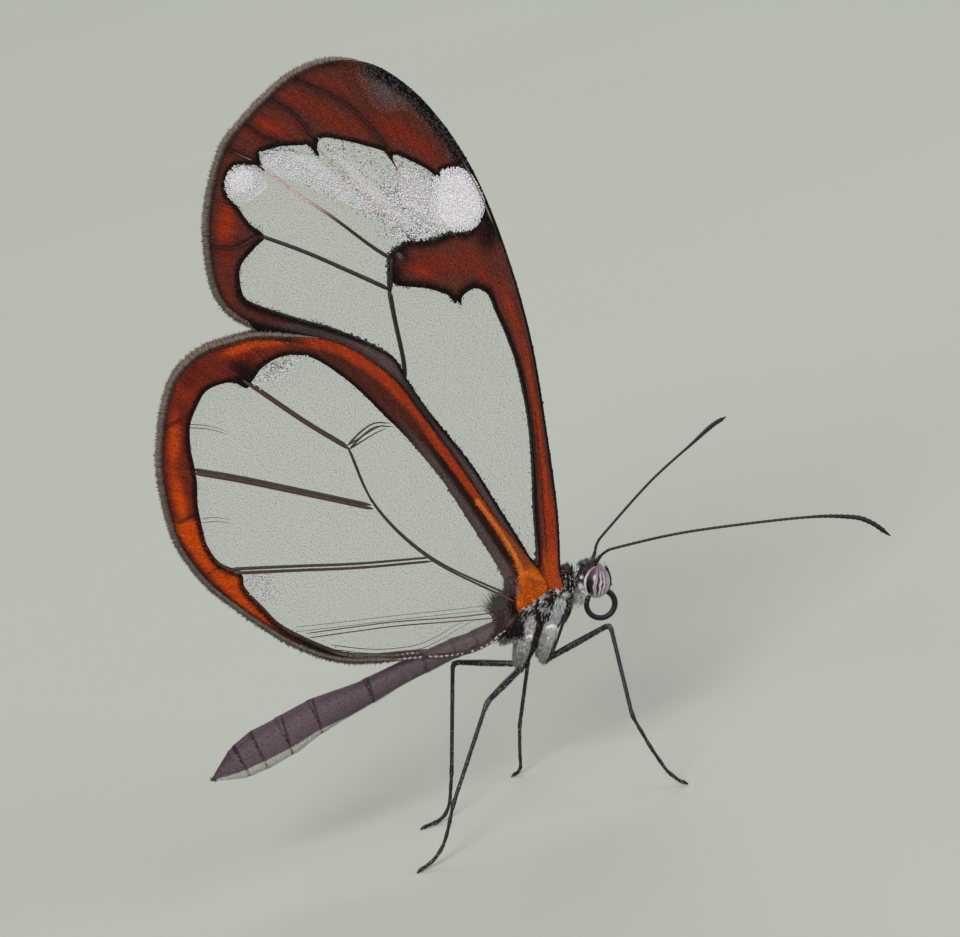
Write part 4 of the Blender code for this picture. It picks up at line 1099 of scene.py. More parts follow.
def edge_hairs(name, side, pane, rim, reach_at, over, seed):
    """Frayed scales round the pane and fringe hairs round the margin of one wing."""
    random = np.random.default_rng(seed)
    rows = []
    for face in (0, 1):
        groups = [fringe(rim, reach_at, layer, random) for layer in range(2 + 1 - face)]
        if face == 0:
            groups.append(frayed(pane, over, random))
        for spots, angle, sizes, colours in groups:
            rows.append(laid_flat(spots, angle, side, face, over, sizes, colours))
    # The fringe's pale tips are its own colour; the tip factor adds a painted highlight on top.
    stack_kites(name, rows, scale_finish, "wing_scales", tip_light=1.35,
                nodes=(name.replace("_fringe", ""),))


def fore_reach(spots):
    """How long the forewing's fringe is at each point of the rim."""
    return FRINGE_REACH * fade(spots[:, 0], -3.5, -0.8) * fade(-spots[:, 1], -19.2, -18.6)


def hind_reach(spots):
    """How long the hindwing's fringe is at each point of the rim."""
    outer = fade(spots[:, 0], -9.5, -6.5)
    lower = 0.4 * fade(spots[:, 1], 1.0, 1.6) * fade(spots[:, 0], -2.6, -2.0)
    return FRINGE_REACH * np.maximum(outer, lower)


for side, word in SIDES:
    edge_hairs("forewing_fringe_" + word, side, FORE_PANE, FORE_RIM, fore_reach, 0.0, 601 + side)
    edge_hairs("hindwing_fringe_" + word, side, HIND_PANE, HIND_RIM, hind_reach, HIND_OVER,
               701 + side)

# %% [markdown]
# ## The body
# Thorax, abdomen and head are one soft skin on the real insect. They are made as separate swept
# and rounded shapes that overlap, and melted into one skin by a fine voxel remesh. It lies a
# little inside the solid model, because the hairs and scales add to it.

# %% Shape the body's parts
THORAX_LINE = ((1.60, 1.05), (1.35, 1.06), (0.90, 0.90), (0.20, 0.54), (-0.60, 0.10),
               (-1.30, -0.08), (-1.85, 0.02), (-2.30, 0.10))
THORAX_SIZES = ((0.38, 0.34), (0.68, 0.60), (0.98, 0.86), (1.16, 1.06), (1.20, 1.20),
                (1.04, 1.00), (0.74, 0.66), (0.46, 0.44))
SEGMENT_JOINTS = (-3.75, -4.95, -6.6, -9.65, -12.62, -14.38, -15.85, -16.85)
JOINT_STEP = 0.035
SIDEWAYS = (0.0, 1.0, 0.0)


def body_line(line, step):
    """A smooth line in the plane of symmetry."""
    flat = smooth_line(line, step)
    return np.column_stack([flat[:, 0], np.zeros(len(flat)), flat[:, 1]])


def sized(line, at, sizes):
    """Radii at each point of a line, from the sizes given at some places along x."""
    order = np.argsort(np.array(at))
    widths, heights = np.array(sizes).T
    x = line[:, 0]
    return np.column_stack([np.interp(x, np.array(at)[order], column[order])
                            for column in (widths, heights)])


thorax_line = body_line(THORAX_LINE, 0.25)
thorax_sizes = sized(thorax_line, [x for x, z in THORAX_LINE], THORAX_SIZES)
abdomen_line = body_line(BODY_AT[::-1], 0.07)
abdomen_sizes = np.column_stack([np.interp(abdomen_line[:, 0], BODY_X, column)
                                 for column in (BODY_WIDE, BODY_HIGH)])
for joint in SEGMENT_JOINTS:
    behind = abdomen_line[:, 0] - joint
    step = JOINT_STEP * np.where(behind > 0, np.exp(-behind / 0.6), np.exp(behind / 0.08))
    abdomen_sizes += step[:, None] * np.minimum(1.0, abdomen_sizes / 0.4)
print("abdomen rings:", len(abdomen_line))


# %% Shape the coxae, the collar, the head and the palps
def egg(centre, radii, turn=0.0, detail=24):
    """A rounded egg-shaped solid, leaning by a turn in the side view."""
    shape = bmesh.new()
    place = (Matrix.Translation(centre) @ Matrix.Rotation(turn, 4, "Y")
             @ Matrix.Diagonal((*radii, 1.0)))
    bmesh.ops.create_uvsphere(shape, u_segments=detail, v_segments=detail // 2 + 2, radius=1.0,
                              matrix=place)
    return shape


COXAE = ((((-0.04, 0.58, 0.25), (-0.18, 0.68, -0.35), (-0.48, 0.64, -1.2), (-0.78, 0.56, -1.98)),
          (0.34, 0.56, 0.44, 0.22)),
         (((-0.85, 0.50, -0.1), (-1.25, 0.66, -0.7), (-1.70, 0.60, -1.40), (-2.08, 0.54, -2.02)),
          (0.34, 0.54, 0.40, 0.20)),
         (((1.30, 0.30, 0.95), (1.20, 0.38, 0.75), (1.05, 0.36, 0.25), (0.75, 0.36, -0.25)),
          (0.20, 0.32, 0.30, 0.20)))
PALP = ((3.32, 0.22, 0.50), (3.56, 0.22, 0.74), (3.68, 0.22, 1.12), (3.70, 0.20, 1.62))
shapes = [sweep(thorax_line, thorax_sizes, 24, SIDEWAYS),
          sweep(abdomen_line, abdomen_sizes, 24, SIDEWAYS),
          egg((1.60, 0.0, 1.62), (0.42, 0.52, 0.60), math.radians(-20)),
          egg((2.20, 0.0, 1.35), (0.50, 0.36, 0.50)),
          egg((2.78, 0.0, 1.38), (0.58, 0.66, 0.88))]
for side in (-1, 1):
    for knots, radii in COXAE:
        line = smooth_line([(x, side * y, z) for x, y, z in knots], 0.15)
        sizes = np.interp(np.linspace(0.0, 1.0, len(line)), (0.0, 0.25, 0.6, 1.0), radii)
        shapes.append(sweep(line, [(size, size) for size in sizes], 16))
    line = smooth_line([(x, side * y, z) for x, y, z in PALP], 0.12)
    sizes = np.interp(np.linspace(0.0, 1.0, len(line)), (0.0, 0.35, 0.7, 1.0),
                      (0.10, 0.11, 0.09, 0.04))
    shapes.append(sweep(line, [(size, size) for size in sizes], 12))
print("body shapes:", len(shapes))

# %% Melt the body into one skin
VOXEL = 0.055


def melted(shapes, voxel, rounds):
    """One smooth closed skin round overlapping shapes."""
    mesh, places = mesh_of(gathered(shapes))
    lump = bpy.data.objects.new("lump", mesh)
    bpy.context.scene.collection.objects.link(lump)
    remesh = lump.modifiers.new("melt", "REMESH")
    remesh.mode = "VOXEL"
    remesh.voxel_size = voxel
    soften = lump.modifiers.new("soften", "SMOOTH")
    soften.factor = 0.5
    soften.iterations = rounds
    bpy.context.view_layer.update()
    skin = bpy.data.meshes.new_from_object(
        lump.evaluated_get(bpy.context.evaluated_depsgraph_get()))
    bpy.data.objects.remove(lump, do_unlink=True)
    bpy.data.meshes.remove(mesh)
    return skin


body_mesh = melted(shapes, VOXEL, 3)
body_mesh.shade_smooth()
body_places = places_of(body_mesh)
print("body skin:", len(body_mesh.polygons), "faces")

# %% [markdown]
# ## The body's markings
# From the side the thorax is dark above, with a few white spots, and silvery below, crossed by
# dark stripes between its plates. The abdomen is purple-brown, with a pale belly and a fine pale
# line along each side. The head is dark with white points.

# %% Colour of the body
WHITE_SPOTS = (((1.32, 1.60), 0.16), ((1.29, 2.04), 0.12), ((1.88, 2.23), 0.14),
               ((1.26, 1.17), 0.14), ((1.45, 1.82), 0.07), ((0.24, 1.53), 0.16),
               ((0.10, 1.26), 0.08), ((0.29, 0.80), 0.10), ((-0.08, 0.92), 0.11),
               ((0.96, 1.43), 0.10), ((-0.30, 1.32), 0.12), ((-0.62, 1.10), 0.11),
               ((0.62, 1.62), 0.06), ((-0.05, 0.35), 0.07), ((-0.25, 0.05), 0.06),
               ((2.05, 1.88), 0.11), ((2.25, 2.03), 0.08), ((2.58, 2.28), 0.10),
               ((2.32, 2.42), 0.07), ((2.93, 2.38), 0.06), ((2.29, 1.58), 0.07))
PLATES = (
    (((0.71, 1.23), (1.17, 1.08), (1.16, 0.76), (0.70, -0.07), (0.18, -0.79), (-0.30, -1.55),
      (-0.58, -1.90), (-0.93, -2.15), (-1.12, -1.75), (-0.87, -0.90), (-0.38, -0.06),
      (0.16, 0.42), (0.51, 0.97)), 1.0),
    (((-1.07, 0.62), (-0.65, 0.84), (-0.50, 0.55), (-0.59, 0.25), (-0.83, -0.23),
      (-1.14, -0.60), (-1.34, -0.80), (-1.40, -0.27), (-1.28, 0.25)), 0.95),
    (((-2.15, -0.25), (-1.47, -0.27), (-1.13, -0.60), (-1.35, -1.18), (-1.81, -1.80),
      (-2.25, -1.95), (-2.45, -1.34), (-2.30, -0.72)), 0.8),
    (((1.74, 1.25), (2.15, 1.35), (2.35, 0.89), (1.9, 0.3), (1.46, 0.0), (1.15, -0.3),
      (1.35, 0.4), (1.55, 0.9)), 0.9),
)
PLATE_LOOPS = [(smooth_line(knots, 0.15, closed=True), amount) for knots, amount in PLATES]
BELLY_EDGE = ((-18.6, -17.8, -15.0, -12.6, -11.0, -8.0, -3.0),
              (-0.3, -0.30, -0.46, -0.60, -0.84, -0.84, -0.84))


def body_colours(places):
    """The colour of skin and coat at each place on the body."""
    x, y, z = places.T
    side_view = places[:, [0, 2]]
    colours = np.tile(BODY_BROWN, (len(places), 1))
    pale = HAIR_GREY + (HAIR_WHITE - HAIR_GREY) * fade(-z, 0.4, 1.5)[:, None]
    for loop, amount in PLATE_LOOPS:
        soft = within(side_view, loop) * fade(distance_to(side_view, loop), 0.10, 0.0)
        colours = tinge(colours, amount * soft, pale)
    under = fade(np.abs(y), 0.45, 0.6) * fade(z, -0.6, 0.0) * (x > -2.6)
    colours = tinge(colours, 0.6 * under, HAIR_GREY)
    for (sx, sz), size in WHITE_SPOTS:
        near = np.hypot(x - sx, z - sz)
        colours = tinge(colours, fade(near, size, size * 1.3), HAIR_WHITE)
    front = fade(-x, -2.35, -2.15) * fade(z, 0.75, 1.0) * fade(x, 2.9, 3.3)
    colours = tinge(colours, front, HAIR_GREY)
    tail = fade(x, -2.9, -2.3)
    level = (z - np.interp(x, BODY_X, BODY_Z)) / np.interp(x, BODY_X, BODY_HIGH)
    abdomen = np.tile(ABDOMEN_BROWN, (len(places), 1))
    abdomen = tinge(abdomen, 0.25 * fade(-level, -0.55, -0.95), paint("#85797f"))
    abdomen = tinge(abdomen, 0.3 * fade(x, -14.0, -9.0), paint("#735a69"))
    belly = np.interp(x, *BELLY_EDGE)
    abdomen = tinge(abdomen, fade(level - belly, -0.05, 0.05), ABDOMEN_PALE)
    for joint in SEGMENT_JOINTS:
        line = np.abs(x - joint + 0.16 * (level + 0.3) * (joint < -15.0) - 0.02)
        strength = 0.9 if joint < -9.0 else 0.5
        abdomen = tinge(abdomen, strength * fade(line, 0.025, 0.09), paint("#1a1113"))
    return colours * (1.0 - tail[:, None]) + abdomen * tail[:, None]


# The skin is painted a quarter darker than its coat, as painted shade under the hair.
lay_pigment(body_mesh, 0.75 * body_colours(body_places))

# %% [markdown]
# ## Hair and scales on the body
# The coat is sampled on the finished skin: each triangle gets hairs in proportion to its area.
# They lie back along the body, longest on the thorax, short and flat on the abdomen and very
# short on the face.


# %% Sample the skin
def sample_skin(mesh, count, random):
    """Random places on a mesh, even by area, with the outward direction at each."""
    mesh.calc_loop_triangles()
    corners = np.zeros(len(mesh.loop_triangles) * 3, np.int32)
    mesh.loop_triangles.foreach_get("vertices", corners)
    a, b, c = places_of(mesh)[corners.reshape(-1, 3)].transpose(1, 0, 2)
    cross = np.cross(b - a, c - a)
    area = np.linalg.norm(cross, axis=1)
    pick = random.choice(len(area), count, p=area / area.sum())
    u, v = random.random((2, count, 1))
    flip = u + v > 1.0
    u, v = np.where(flip, 1.0 - u, u), np.where(flip, 1.0 - v, v)
    places = a[pick] + u * (b - a)[pick] + v * (c - a)[pick]
    return places, cross[pick] / area[pick][:, None]


def body_patches(places):
    """The place of each root on the unrolled body: along it, and round it."""
    x, y, z = places.T
    middle = np.interp(x, (-18.4, -10.0, -2.0, 0.2, 1.4, 3.0), (-2.66, -1.0, 0.1, 0.3, 1.1, 1.3))
    round_share = (np.arctan2(y, z - middle) / (2.0 * np.pi)) % 1.0
    return np.column_stack([MAP_EDGE + MAP_SPAN * (x + 18.8) / 23.2,
                            MAP_EDGE + MAP_SPAN * round_share])


def coat(name, mesh, count, size, wanted, flow_at, seed, slot, lean=0.25, pale=0.06,
         shoulder=0.5):
    """Hairs or scales all over the wanted part of a skin."""
    random = np.random.default_rng(seed)
    places, outward = sample_skin(mesh, count, random)
    kept = wanted(places)
    places, outward = places[kept], outward[kept]
    flow = flow_at(places) + random.normal(0.0, 0.2, places.shape)
    flow -= outward * (flow * outward).sum(axis=1)[:, None]
    flow /= np.linalg.norm(flow, axis=1)[:, None] + 1e-9
    along = flow + outward * (0.06 + lean * random.random((len(places), 1)))
    colours = body_colours(places) * np.exp(random.normal(0.05, 0.20, (len(places), 1)))
    colours = tinge(colours, (random.random(len(places)) < pale) * 0.6, HAIR_WHITE)
    colours = tinge(colours, (random.random(len(places)) < 0.10) * 0.5, BODY_BROWN)
    sizes = varied(len(places), *size, random)
    kites(name, places - outward * 0.02, along, outward, sizes, colours, body_patches(places),
          scale_finish, slot, shoulder=shoulder)


def thorax_flow(places):
    """Hair lies back and down along the thorax."""
    return np.tile((-0.55, 0.0, -0.85), (len(places), 1))


def tail_flow(places):
    """Scales point to the tip of the abdomen."""
    return np.tile((-1.0, 0.0, -0.15), (len(places), 1))


def head_flow(places):
    """Hair on the head points up and forward."""
    return np.tile((0.25, 0.0, 0.9), (len(places), 1))


coat("thorax_hair", body_mesh, 78000, (0.22, 0.030, 0.02),
     lambda places: (places[:, 0] > -2.5) & (places[:, 0] < 2.1), thorax_flow, 811, "body_hair",
     0.2, 0.05)
coat("shoulder_hair", body_mesh, 17000, (0.34, 0.065, 0.03),
     lambda places: (np.abs(places[:, 0] - 0.45) < 1.6) & (places[:, 2] > 0.45), thorax_flow, 815,
     "body_hair", 0.55, 0.28)
coat("abdomen_scales", body_mesh, 78000, (0.12, 0.06, 0.01),
     lambda places: places[:, 0] < -2.3, tail_flow, 821, "abdomen_scales", 0.06, 0.01, 0.7)
coat("abdomen_hair", body_mesh, 9000, (0.18, 0.016, 0.01),
     lambda places: places[:, 0] < -2.3, tail_flow, 823, "abdomen_scales", 0.30, 0.03)
coat("head_hair", body_mesh, 50000, (0.13, 0.026, 0.01), lambda places: places[:, 0] > 2.0,
     head_flow, 831, "body_hair", 0.35, 0.07)
set_down("body_skin", body_mesh, skin_finish, "body_hair", "thorax", "abdomen", "head")

# %% [markdown]
# ## Tufts that break the outline
# Longer hairs stand up in a collar behind the head and on top of the head. A dark grey tuft rises
# between the wings from the base of the abdomen and shows through the glass there.

# %% Plant the tufts
TUFTS = (
    ("collar_tuft", (1.58, 0.0, 1.98), (0.30, 0.40, 0.20), (0.12, 0.0, 1.0), 0.40, 620,
     ("#241c1b", "#605658")),
    ("crown_tuft", (2.75, 0.0, 2.10), (0.42, 0.34, 0.08), (0.05, 0.0, 1.0), 0.22, 520,
     ("#1a1414", "#8f888a")),
    ("palp_bristles", (3.66, 0.0, 1.15), (0.06, 0.26, 0.42), (0.4, 0.0, 0.9), 0.12, 420,
     ("#120f10", "#2a2526")),
    ("throat_tuft", (1.80, 0.0, 0.62), (0.28, 0.34, 0.28), (0.35, 0.0, -0.8), 0.28, 620,
     ("#d2d0d0", "#f4f3f4")),
    ("wing_base_tuft", (-1.75, 0.0, 0.55), (0.42, 0.24, 0.25), (-0.2, 0.0, 1.0), 1.45, 2400,
     ("#231d1b", "#463d3b")),
    ("hip_tuft", (-2.2, 0.0, -0.25), (0.35, 0.45, 0.30), (-0.9, 0.0, -0.5), 0.35, 500,
     ("#3a3230", "#a19b98")),
    ("tail_tuft", (-18.45, 0.0, -2.82), (0.16, 0.12, 0.10), (-0.8, 0.0, -0.35), 0.17, 200,
     ("#2a2220", "#8f8457")),
)


def tuft(name, middle, spread, heading, long, count, shades, seed):
    """Loose hairs rooted round one place, fanning out a little."""
    random = np.random.default_rng(seed)
    off = random.normal(0.0, 0.5, (count, 3))
    roots = np.array(middle) + off * np.array(spread)
    along = np.array(heading) + random.normal(0.0, 0.16, (count, 3)) + off * (0.18, 0.14, 0.0)
    outward = np.cross(along, np.cross((0.0, 1.0, 0.0), along)) + random.normal(0, 0.2, (count, 3))
    outward = np.cross(np.cross(along, outward), along)
    outward /= np.linalg.norm(outward, axis=1)[:, None]
    sizes = varied(count, long, 0.035, 0.01, random)
    sizes[:, 0] *= 0.55 + 0.45 * random.random(count)
    share = random.random((count, 1)) ** 1.5
    colours = paint(shades[0]) * (1.0 - share) + paint(shades[1]) * share
    kites(name, roots, along, outward, sizes, colours, body_patches(roots), scale_finish,
          "body_hair", shoulder=0.4)


for number, row in enumerate(TUFTS):
    tuft(*row, 851 + number)

# %% [markdown]
# ## The eyes
# A compound eye is thousands of lenses on a dome, striped in life by pigment under them. The dome
# is half an egg on each side of the head. Two values are stored on it, how far round it a point
# lies and how far up, and the stripes are read from the first.

# %% Finish of the eyes
eye_finish, tree, shader = new_finish("faceted_compound_eye", Roughness=0.3, IOR=1.45,
                                      Specular_IOR_Level=0.35, Coat_Weight=0.2,
                                      Coat_Roughness=0.12)
place = add(tree, "TexCoord")
around = add(tree, "Attribute", attribute_name="around")
raised = add(tree, "Attribute", attribute_name="raised")
wobble = add(tree, "TexNoise", {"Vector": place.outputs["Object"],
                                "Scale": 1.0 / (0.32 * MM)})
nudge = add(tree, "Math", {0: wobble.outputs["Fac"], 1: 0.10, 2: -0.05},
            operation="MULTIPLY_ADD")
bent = add(tree, "Math", {0: around.outputs["Fac"], 1: nudge.outputs["Value"]},
           operation="ADD")
stripes = add(tree, "ValToRGB", {"Fac": bent.outputs["Value"]})
ramp = stripes.color_ramp
STRIPE_STOPS = ((0.0, "#e2dcdf"), (0.125, "#d5ced1"), (0.16, "#0a0809"), (0.345, "#0c090b"),
                (0.375, "#a29b9e"), (0.40, "#8d878a"), (0.415, "#5b5356"), (0.435, "#b3acae"),
                (0.455, "#1d1719"), (0.495, "#1a1517"), (0.52, "#aaa3a6"), (0.55, "#b9b1b5"),
                (0.575, "#2e2529"), (0.60, "#352b30"), (0.625, "#bbb3b8"), (0.655, "#aea5ab"),
                (0.68, "#62555d"), (0.71, "#675a62"), (0.735, "#b6a9b2"), (0.78, "#8f7f8a"),
                (0.82, "#b0a2ac"), (1.0, "#a3949e"))
while len(ramp.elements) < len(STRIPE_STOPS):
    ramp.elements.new(0.5)
for element, (stop, colour) in zip(ramp.elements, STRIPE_STOPS):
    element.position = stop
    element.color = rgba(paint(colour))
top = add(tree, "MapRange", {"Value": raised.outputs["Fac"], "From Min": 0.58,
                             "From Max": 0.92, "To Max": 0.7})
pink = add(tree, "Mix", {0: top.outputs["Result"], 6: stripes.outputs["Color"],
                         7: rgba(paint("#6a4a5e"))}, data_type="RGBA")
low = add(tree, "MapRange", {"Value": raised.outputs["Fac"], "From Min": 0.22,
                             "From Max": 0.02, "To Max": 0.7})
foot = add(tree, "Mix", {0: low.outputs["Result"], 6: pink.outputs[2],
                         7: rgba(paint("#aaa2a4"))}, data_type="RGBA")
tree.links.new(foot.outputs[2], shader.inputs["Base Color"])
facets = add(tree, "TexVoronoi", {"Vector": place.outputs["Object"],
                                  "Scale": 1.0 / (0.05 * MM)})
relief = add(tree, "Bump", {"Height": facets.outputs["Distance"], "Strength": 0.2,
                            "Distance": -0.01 * MM})
tree.links.new(relief.outputs["Normal"], shader.inputs["Normal"])

# %% Make the eyes
EYE_AT = (2.96, 0.50, 1.16)
EYE_RADII = (0.67, 0.62, 0.83)
EYE_LEAN = math.radians(20.0)


def make_eye(name, side):
    """A domed eye, its inner face hidden in the head."""
    shape = bmesh.new()
    bmesh.ops.create_uvsphere(shape, u_segments=64, v_segments=40, radius=1.0)
    keep = shape.verts[:] + shape.edges[:] + shape.faces[:]
    bmesh.ops.bisect_plane(shape, geom=keep, plane_co=(0.0, -0.3 * side, 0.0),
                           plane_no=(0.0, -side, 0.0), clear_outer=True)
    rim_edges = [edge for edge in shape.edges if edge.is_boundary]
    bmesh.ops.contextual_create(shape, geom=rim_edges)
    bmesh.ops.recalc_face_normals(shape, faces=shape.faces)
    mesh, places = mesh_of(shape)
    around = mesh.attributes.new("around", "FLOAT", "POINT")
    angle = np.arctan2(places[:, 0], np.abs(places[:, 1]) + 1e-6)
    around.data.foreach_set("value", (angle / np.pi + 0.5).astype(np.float32))
    raised = mesh.attributes.new("raised", "FLOAT", "POINT")
    raised.data.foreach_set("value", (places[:, 2] * 0.5 + 0.5).astype(np.float32))
    spot_at = Matrix.Translation((EYE_AT[0], side * EYE_AT[1], EYE_AT[2]))
    mesh.transform(spot_at @ Matrix.Rotation(EYE_LEAN, 4, "Y")
                   @ Matrix.Diagonal((*EYE_RADII, 1.0)))
    return set_down(name, mesh, eye_finish, "eye", name)


for side, word in SIDES:
    make_eye("eye_" + word, side)

# %% [markdown]
# ## Tongue and feelers
# The tongue is a hollow tube coiled like a watch spring, blue-black and glossy. The feelers are
# chains of small segments that thicken towards the tip. Both are swept with a radius that swells
# and narrows a little at each segment.

# %% Coil the tongue
TONGUE_AT = (2.90, -0.16)
TONGUE_RADIUS = 0.735
TONGUE_THICK = 0.145
turns = np.linspace(math.radians(70.0), math.radians(70.0 - 322.0), 150)
line = np.column_stack([TONGUE_AT[0] + TONGUE_RADIUS * np.cos(turns), np.zeros(len(turns)),
                        TONGUE_AT[1] + TONGUE_RADIUS * np.sin(turns)])
swell = TONGUE_THICK * (1.0 + 0.03 * np.cos(np.arange(len(turns)) * np.pi))
swell *= np.interp(np.linspace(0, 1, len(turns)), (0.0, 0.9, 1.0), (1.0, 0.85, 0.4))
mesh, places = mesh_of(sweep(line, [(size, size * 1.1) for size in swell], 16, SIDEWAYS))
lay_pigment(mesh, np.tile(BLUE_BLACK, (len(places), 1)))
set_down("proboscis", mesh, chitin_finish, "cuticle", "proboscis")

# %% Shape the feelers
FEELERS = {
    "antenna_right": ((3.05, -0.25, 1.95), (3.32, -0.33, 2.22), (3.75, -0.5, 2.52),
                      (4.5, -0.80, 2.66), (8.0, -2.2, 2.72), (13.27, -3.8, 2.15),
                      (15.62, -4.3, 1.58), (16.6, -4.5, 1.03), (17.4, -4.6, 0.05)),
    "antenna_left": ((3.0, 0.25, 1.95), (3.35, 0.5, 2.34), (3.68, 0.9, 2.72),
                     (4.4, 1.7, 2.98), (7.9, 6.0, 3.65), (10.9, 9.0, 4.1), (12.5, 10.7, 4.3),
                     (13.5, 11.6, 4.3)),
}
for name, knots in FEELERS.items():
    line = smooth_line(knots, 0.07)
    share = np.linspace(0.0, 1.0, len(line))
    radii = np.interp(share, (0.0, 0.02, 0.05, 0.72, 0.9, 0.97, 1.0),
                      (0.11, 0.11, 0.072, 0.070, 0.13, 0.12, 0.03))
    radii = radii * (1.0 + 0.11 * np.sin(np.arange(len(line)) * np.pi / 2.0))
    mesh, places = mesh_of(sweep(line, [(size, size) for size in radii], 10))
    lay_pigment(mesh, np.tile(paint("#0f0c0e"), (len(places), 1)))
    set_down(name, mesh, chitin_finish, "cuticle", name)

# %% [markdown]
# ## Legs
# A butterfly walks on four legs. Each has a femur, a tibia and a foot of five short segments that
# ends in two claws. The front pair is tiny and folded against the chest.

# %% Shape the legs
FOOT_RADIUS = 0.10
FOOT_LEVEL = FLOOR + FOOT_RADIUS
LEGS = {
    "midleg_right": ((-0.70, -0.56, -1.95), (2.87, -1.90, -0.75), (2.51, -3.50, -5.25),
                     (2.94, -3.90, -7.03), (3.38, -4.12, -8.4), (3.85, -4.2, -9.05),
                     (4.13, -4.25, FOOT_LEVEL)),
    "midleg_left": ((-0.70, 0.56, -1.95), (-0.76, 3.30, -1.88), (-2.49, 4.60, -6.59),
                    (-2.85, 4.90, -8.10), (-3.0, 5.0, -8.9), (-3.2, 5.05, -9.15),
                    (-3.5, 5.12, FOOT_LEVEL)),
    "hindleg_right": ((-2.06, -0.54, -2.0), (-4.32, -3.00, -2.37), (-7.50, -4.22, -6.6),
                      (-8.1, -4.4, -7.7), (-8.55, -4.47, -8.4), (-9.25, -4.55, -8.98),
                      (-10.12, -4.60, FOOT_LEVEL)),
    "hindleg_left": ((-2.06, 0.54, -2.0), (-5.09, 1.90, -1.31), (-6.77, 1.70, -6.90),
                     (-7.32, 1.60, -8.45), (-7.7, 1.57, -8.95), (-8.15, 1.55, -9.18),
                     (-9.05, 1.50, FOOT_LEVEL)),
}
FORELEG = ((1.52, 0.50, 1.02), (1.36, 0.62, 0.75), (0.78, 0.78, -0.15), (0.20, 0.86, -1.0),
           (-0.36, 0.82, -1.82))


def bent_line(joints, step, softness):
    """Straight runs with a short bend at each joint."""
    points = [np.array(joints[0], float)]
    for before, corner, after in zip(joints, joints[1:], joints[2:]):
        before, corner, after = (np.array(place, float) for place in (before, corner, after))
        inward = before - corner
        onward = after - corner
        bend = min(softness, 0.4 * np.linalg.norm(inward), 0.4 * np.linalg.norm(onward))
        first = corner + inward / np.linalg.norm(inward) * bend
        last = corner + onward / np.linalg.norm(onward) * bend
        points.extend([first, 0.25 * first + 0.5 * corner + 0.25 * last, last])
    points.append(np.array(joints[-1], float))
    dense = []
    for start, end in zip(points, points[1:]):
        pieces = max(1, round(np.linalg.norm(end - start) / step))
        dense.extend(start + (end - start) * part / pieces for part in range(pieces))
    dense.append(points[-1])
    return np.array(dense)


def leg_radii(line, joints):
    """A thick femur, a thinner tibia and a beaded foot, by the way along the leg."""
    run = np.concatenate([[0.0], np.cumsum(np.linalg.norm(np.diff(line, axis=0), axis=1))])
    marks = [run[np.argmin(np.linalg.norm(line - np.array(joint), axis=1))]
             for joint in joints[:4]]
    hip, knee, ankle, first = marks
    tip = run[-1]
    at = (hip, hip + 0.4, (hip + knee) / 2, knee - 0.3, knee, knee + 0.4, ankle - 0.4, ankle,
          ankle + 0.2, tip - 0.1, tip)
    size = (0.15, 0.155, 0.165, 0.13, 0.145, 0.105, 0.10, 0.12, 0.092, 0.088, 0.045)
    radii = np.interp(run, at, size)
    foot = run > ankle
    bead = (tip - ankle) / 5.0
    radii[foot] *= 1.0 + 0.10 * np.cos((run[foot] - ankle) / bead * 2.0 * np.pi)
    return radii, run, marks


def claw(tip, heading, side_way):
    """One small hooked claw at the end of a foot."""
    tip, heading, side_way = Vector(tip), Vector(heading), Vector(side_way)
    points = [tip - heading * 0.08, tip + heading * 0.05 + side_way * 0.04,
              tip + heading * 0.12 + side_way * 0.06 - Vector((0.0, 0.0, 0.05))]
    return sweep(points, ((0.032, 0.032), (0.026, 0.026), (0.008, 0.008)), 6)


leg_meshes = {}
for name, joints in LEGS.items():
    line = bent_line(joints, 0.11, 0.30)
    radii, run, marks = leg_radii(line, joints)
    shapes = [sweep(line, [(size, size) for size in radii], 10)]
    heading = Vector(line[-1] - line[-3]).normalized()
    side_way = heading.cross(Vector((0.0, 0.0, 1.0))).normalized()
    for way in (-1, 1):
        shapes.append(claw(line[-1], heading, side_way * way))
    ankle = line[np.argmin(np.abs(run - marks[2]))]
    shin = Vector(ankle - line[np.argmin(np.abs(run - marks[2] + 1.0))]).normalized()
    for way in (-1, 1):
        spur = [Vector(ankle), Vector(ankle) + (shin + side_way * 0.6 * way) * 0.2]
        shapes.append(sweep(spur, ((0.028, 0.028), (0.006, 0.006)), 6))
    mesh, places = mesh_of(gathered(shapes))
    places[:, 2] = np.maximum(places[:, 2], FLOOR)
    mesh.vertices.foreach_set("co", places.astype(np.float32).ravel())
    knee = np.linalg.norm(places - np.array(joints[1]), axis=1)
    colours = tinge(np.tile(paint("#1a171e"), (len(places), 1)), 0.6 * fade(knee, 0.1, 0.35),
                    paint("#5a4a42"))
    lay_pigment(mesh, colours)
    leg_meshes[name] = mesh.copy()
    set_down(name, mesh, chitin_finish, "leg", name)

for side, word in SIDES:
    joints = [(x, side * y, z) for x, y, z in FORELEG]
    line = bent_line(joints, 0.08, 0.12)
    sizes = np.interp(np.linspace(0, 1, len(line)), (0.0, 0.3, 0.6, 1.0), (0.11, 0.10, 0.075, 0.04))
    mesh, places = mesh_of(sweep(line, [(size, size) for size in sizes], 8))
    lay_pigment(mesh, np.tile(paint("#120f12"), (len(places), 1)))
    set_down("foreleg_" + word, mesh, chitin_finish, "leg", "foreleg_" + word)


# %% Speckle the legs with scales
LEG_SCALES = 4800
WHITE_SHARE = 0.19


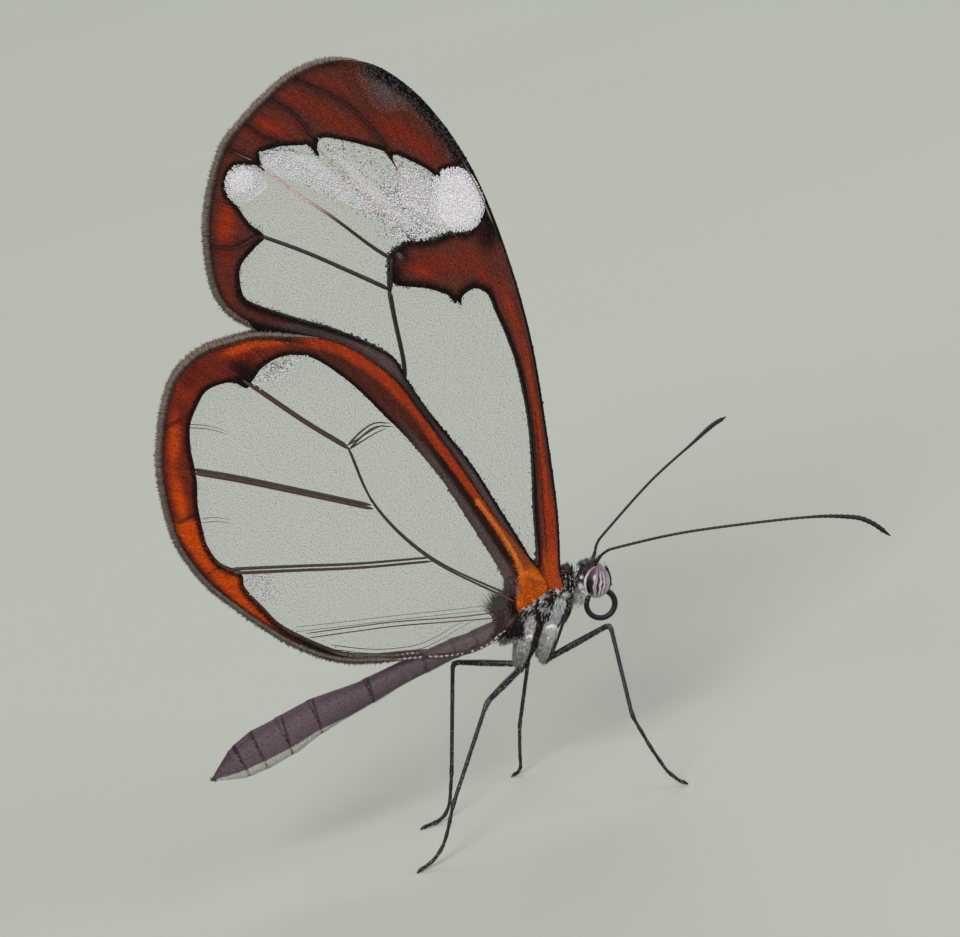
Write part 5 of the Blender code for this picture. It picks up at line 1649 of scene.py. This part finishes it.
def leg_scales(name, mesh, count, seed):
    """Short dark and white scales that lie along a leg."""
    random = np.random.default_rng(seed)
    places, outward = sample_skin(mesh, count, random)
    flow = np.tile((0.0, 0.0, -1.0), (count, 1)) + random.normal(0.0, 0.15, (count, 3))
    flow -= outward * (flow * outward).sum(axis=1)[:, None]
    along = flow / (np.linalg.norm(flow, axis=1)[:, None] + 1e-9) + outward * 0.08
    white = random.random((count, 1)) < WHITE_SHARE
    colours = np.where(white, paint("#e4e0df"), paint("#17131a"))
    sizes = varied(count, 0.085, 0.034, 0.006, random)
    x, y, z = places.T
    patches = np.column_stack([MAP_EDGE + MAP_SPAN * (z + 9.4) / 9.6,
                               MAP_EDGE + MAP_SPAN * ((np.arctan2(outward[:, 1], outward[:, 0])
                                               / (2.0 * np.pi)) % 1.0)])
    kites(name, places - outward * 0.008, along, outward, sizes, colours, patches, scale_finish,
          "leg")


for number, (name, mesh) in enumerate(leg_meshes.items()):
    leg_scales(name + "_scales", mesh, LEG_SCALES, 900 + number)
    bpy.data.meshes.remove(mesh)

# %% [markdown]
# ## Floor and light
# The butterfly stands on a plain pale floor under two large soft lights, as in a museum case,
# with a pale surrounding that fills the shadows.

# %% Lay the floor
floor_finish, tree, shader = new_finish("matt_pale_plaster", Roughness=0.85,
                                        Specular_IOR_Level=0.2)
place = add(tree, "TexCoord")
cloud = add(tree, "TexNoise", {"Vector": place.outputs["Object"], "Scale": 9.0,
                               "Detail": 3.0})
tint = add(tree, "Mix", {0: cloud.outputs["Fac"], 6: rgba(paint("#a9ada3")),
                         7: rgba(paint("#aeb2a8"))}, data_type="RGBA")
tree.links.new(tint.outputs[2], shader.inputs["Base Color"])
shape = bmesh.new()
bmesh.ops.create_grid(shape, x_segments=8, y_segments=8, size=3.0)
floor_mesh = bpy.data.meshes.new("floor")
shape.to_mesh(floor_mesh)
shape.free()
floor_mesh.materials.append(floor_finish)
floor = bpy.data.objects.new("floor", floor_mesh)
bpy.context.scene.collection.objects.link(floor)


# %% Hang the lights
LIGHT_AIM = Vector((0.0, 0.0, 0.02))


def soft_light(name, place, size, power, colour):
    """A square soft light aimed at the butterfly."""
    data = bpy.data.lights.new(name, "AREA")
    data.shape = "SQUARE"
    data.size = size
    data.energy = power
    data.color = paint(colour)
    lamp = bpy.data.objects.new(name, data)
    bpy.context.scene.collection.objects.link(lamp)
    aim = LIGHT_AIM - Vector(place)
    turn = aim.to_track_quat("-Z", "Y").to_matrix().to_4x4()
    lamp.matrix_world = Matrix.Translation(place) @ turn


soft_light("key", (-0.7, -1.5, 1.25), 0.9, 32.0, "#fffdf9")
soft_light("fill", (1.3, -0.9, 0.9), 1.2, 13.0, "#f6f8ff")
soft_light("rim", (0.2, 1.4, 1.2), 1.0, 10.0, "#ffffff")
world = bpy.data.worlds.new("pale_room")
world.use_nodes = True
world.node_tree.nodes["Background"].inputs["Color"].default_value = rgba(paint("#e9eaec"))
world.node_tree.nodes["Background"].inputs["Strength"].default_value = 0.5
bpy.context.scene.world = world
bpy.context.scene.view_settings.view_transform = "Standard"
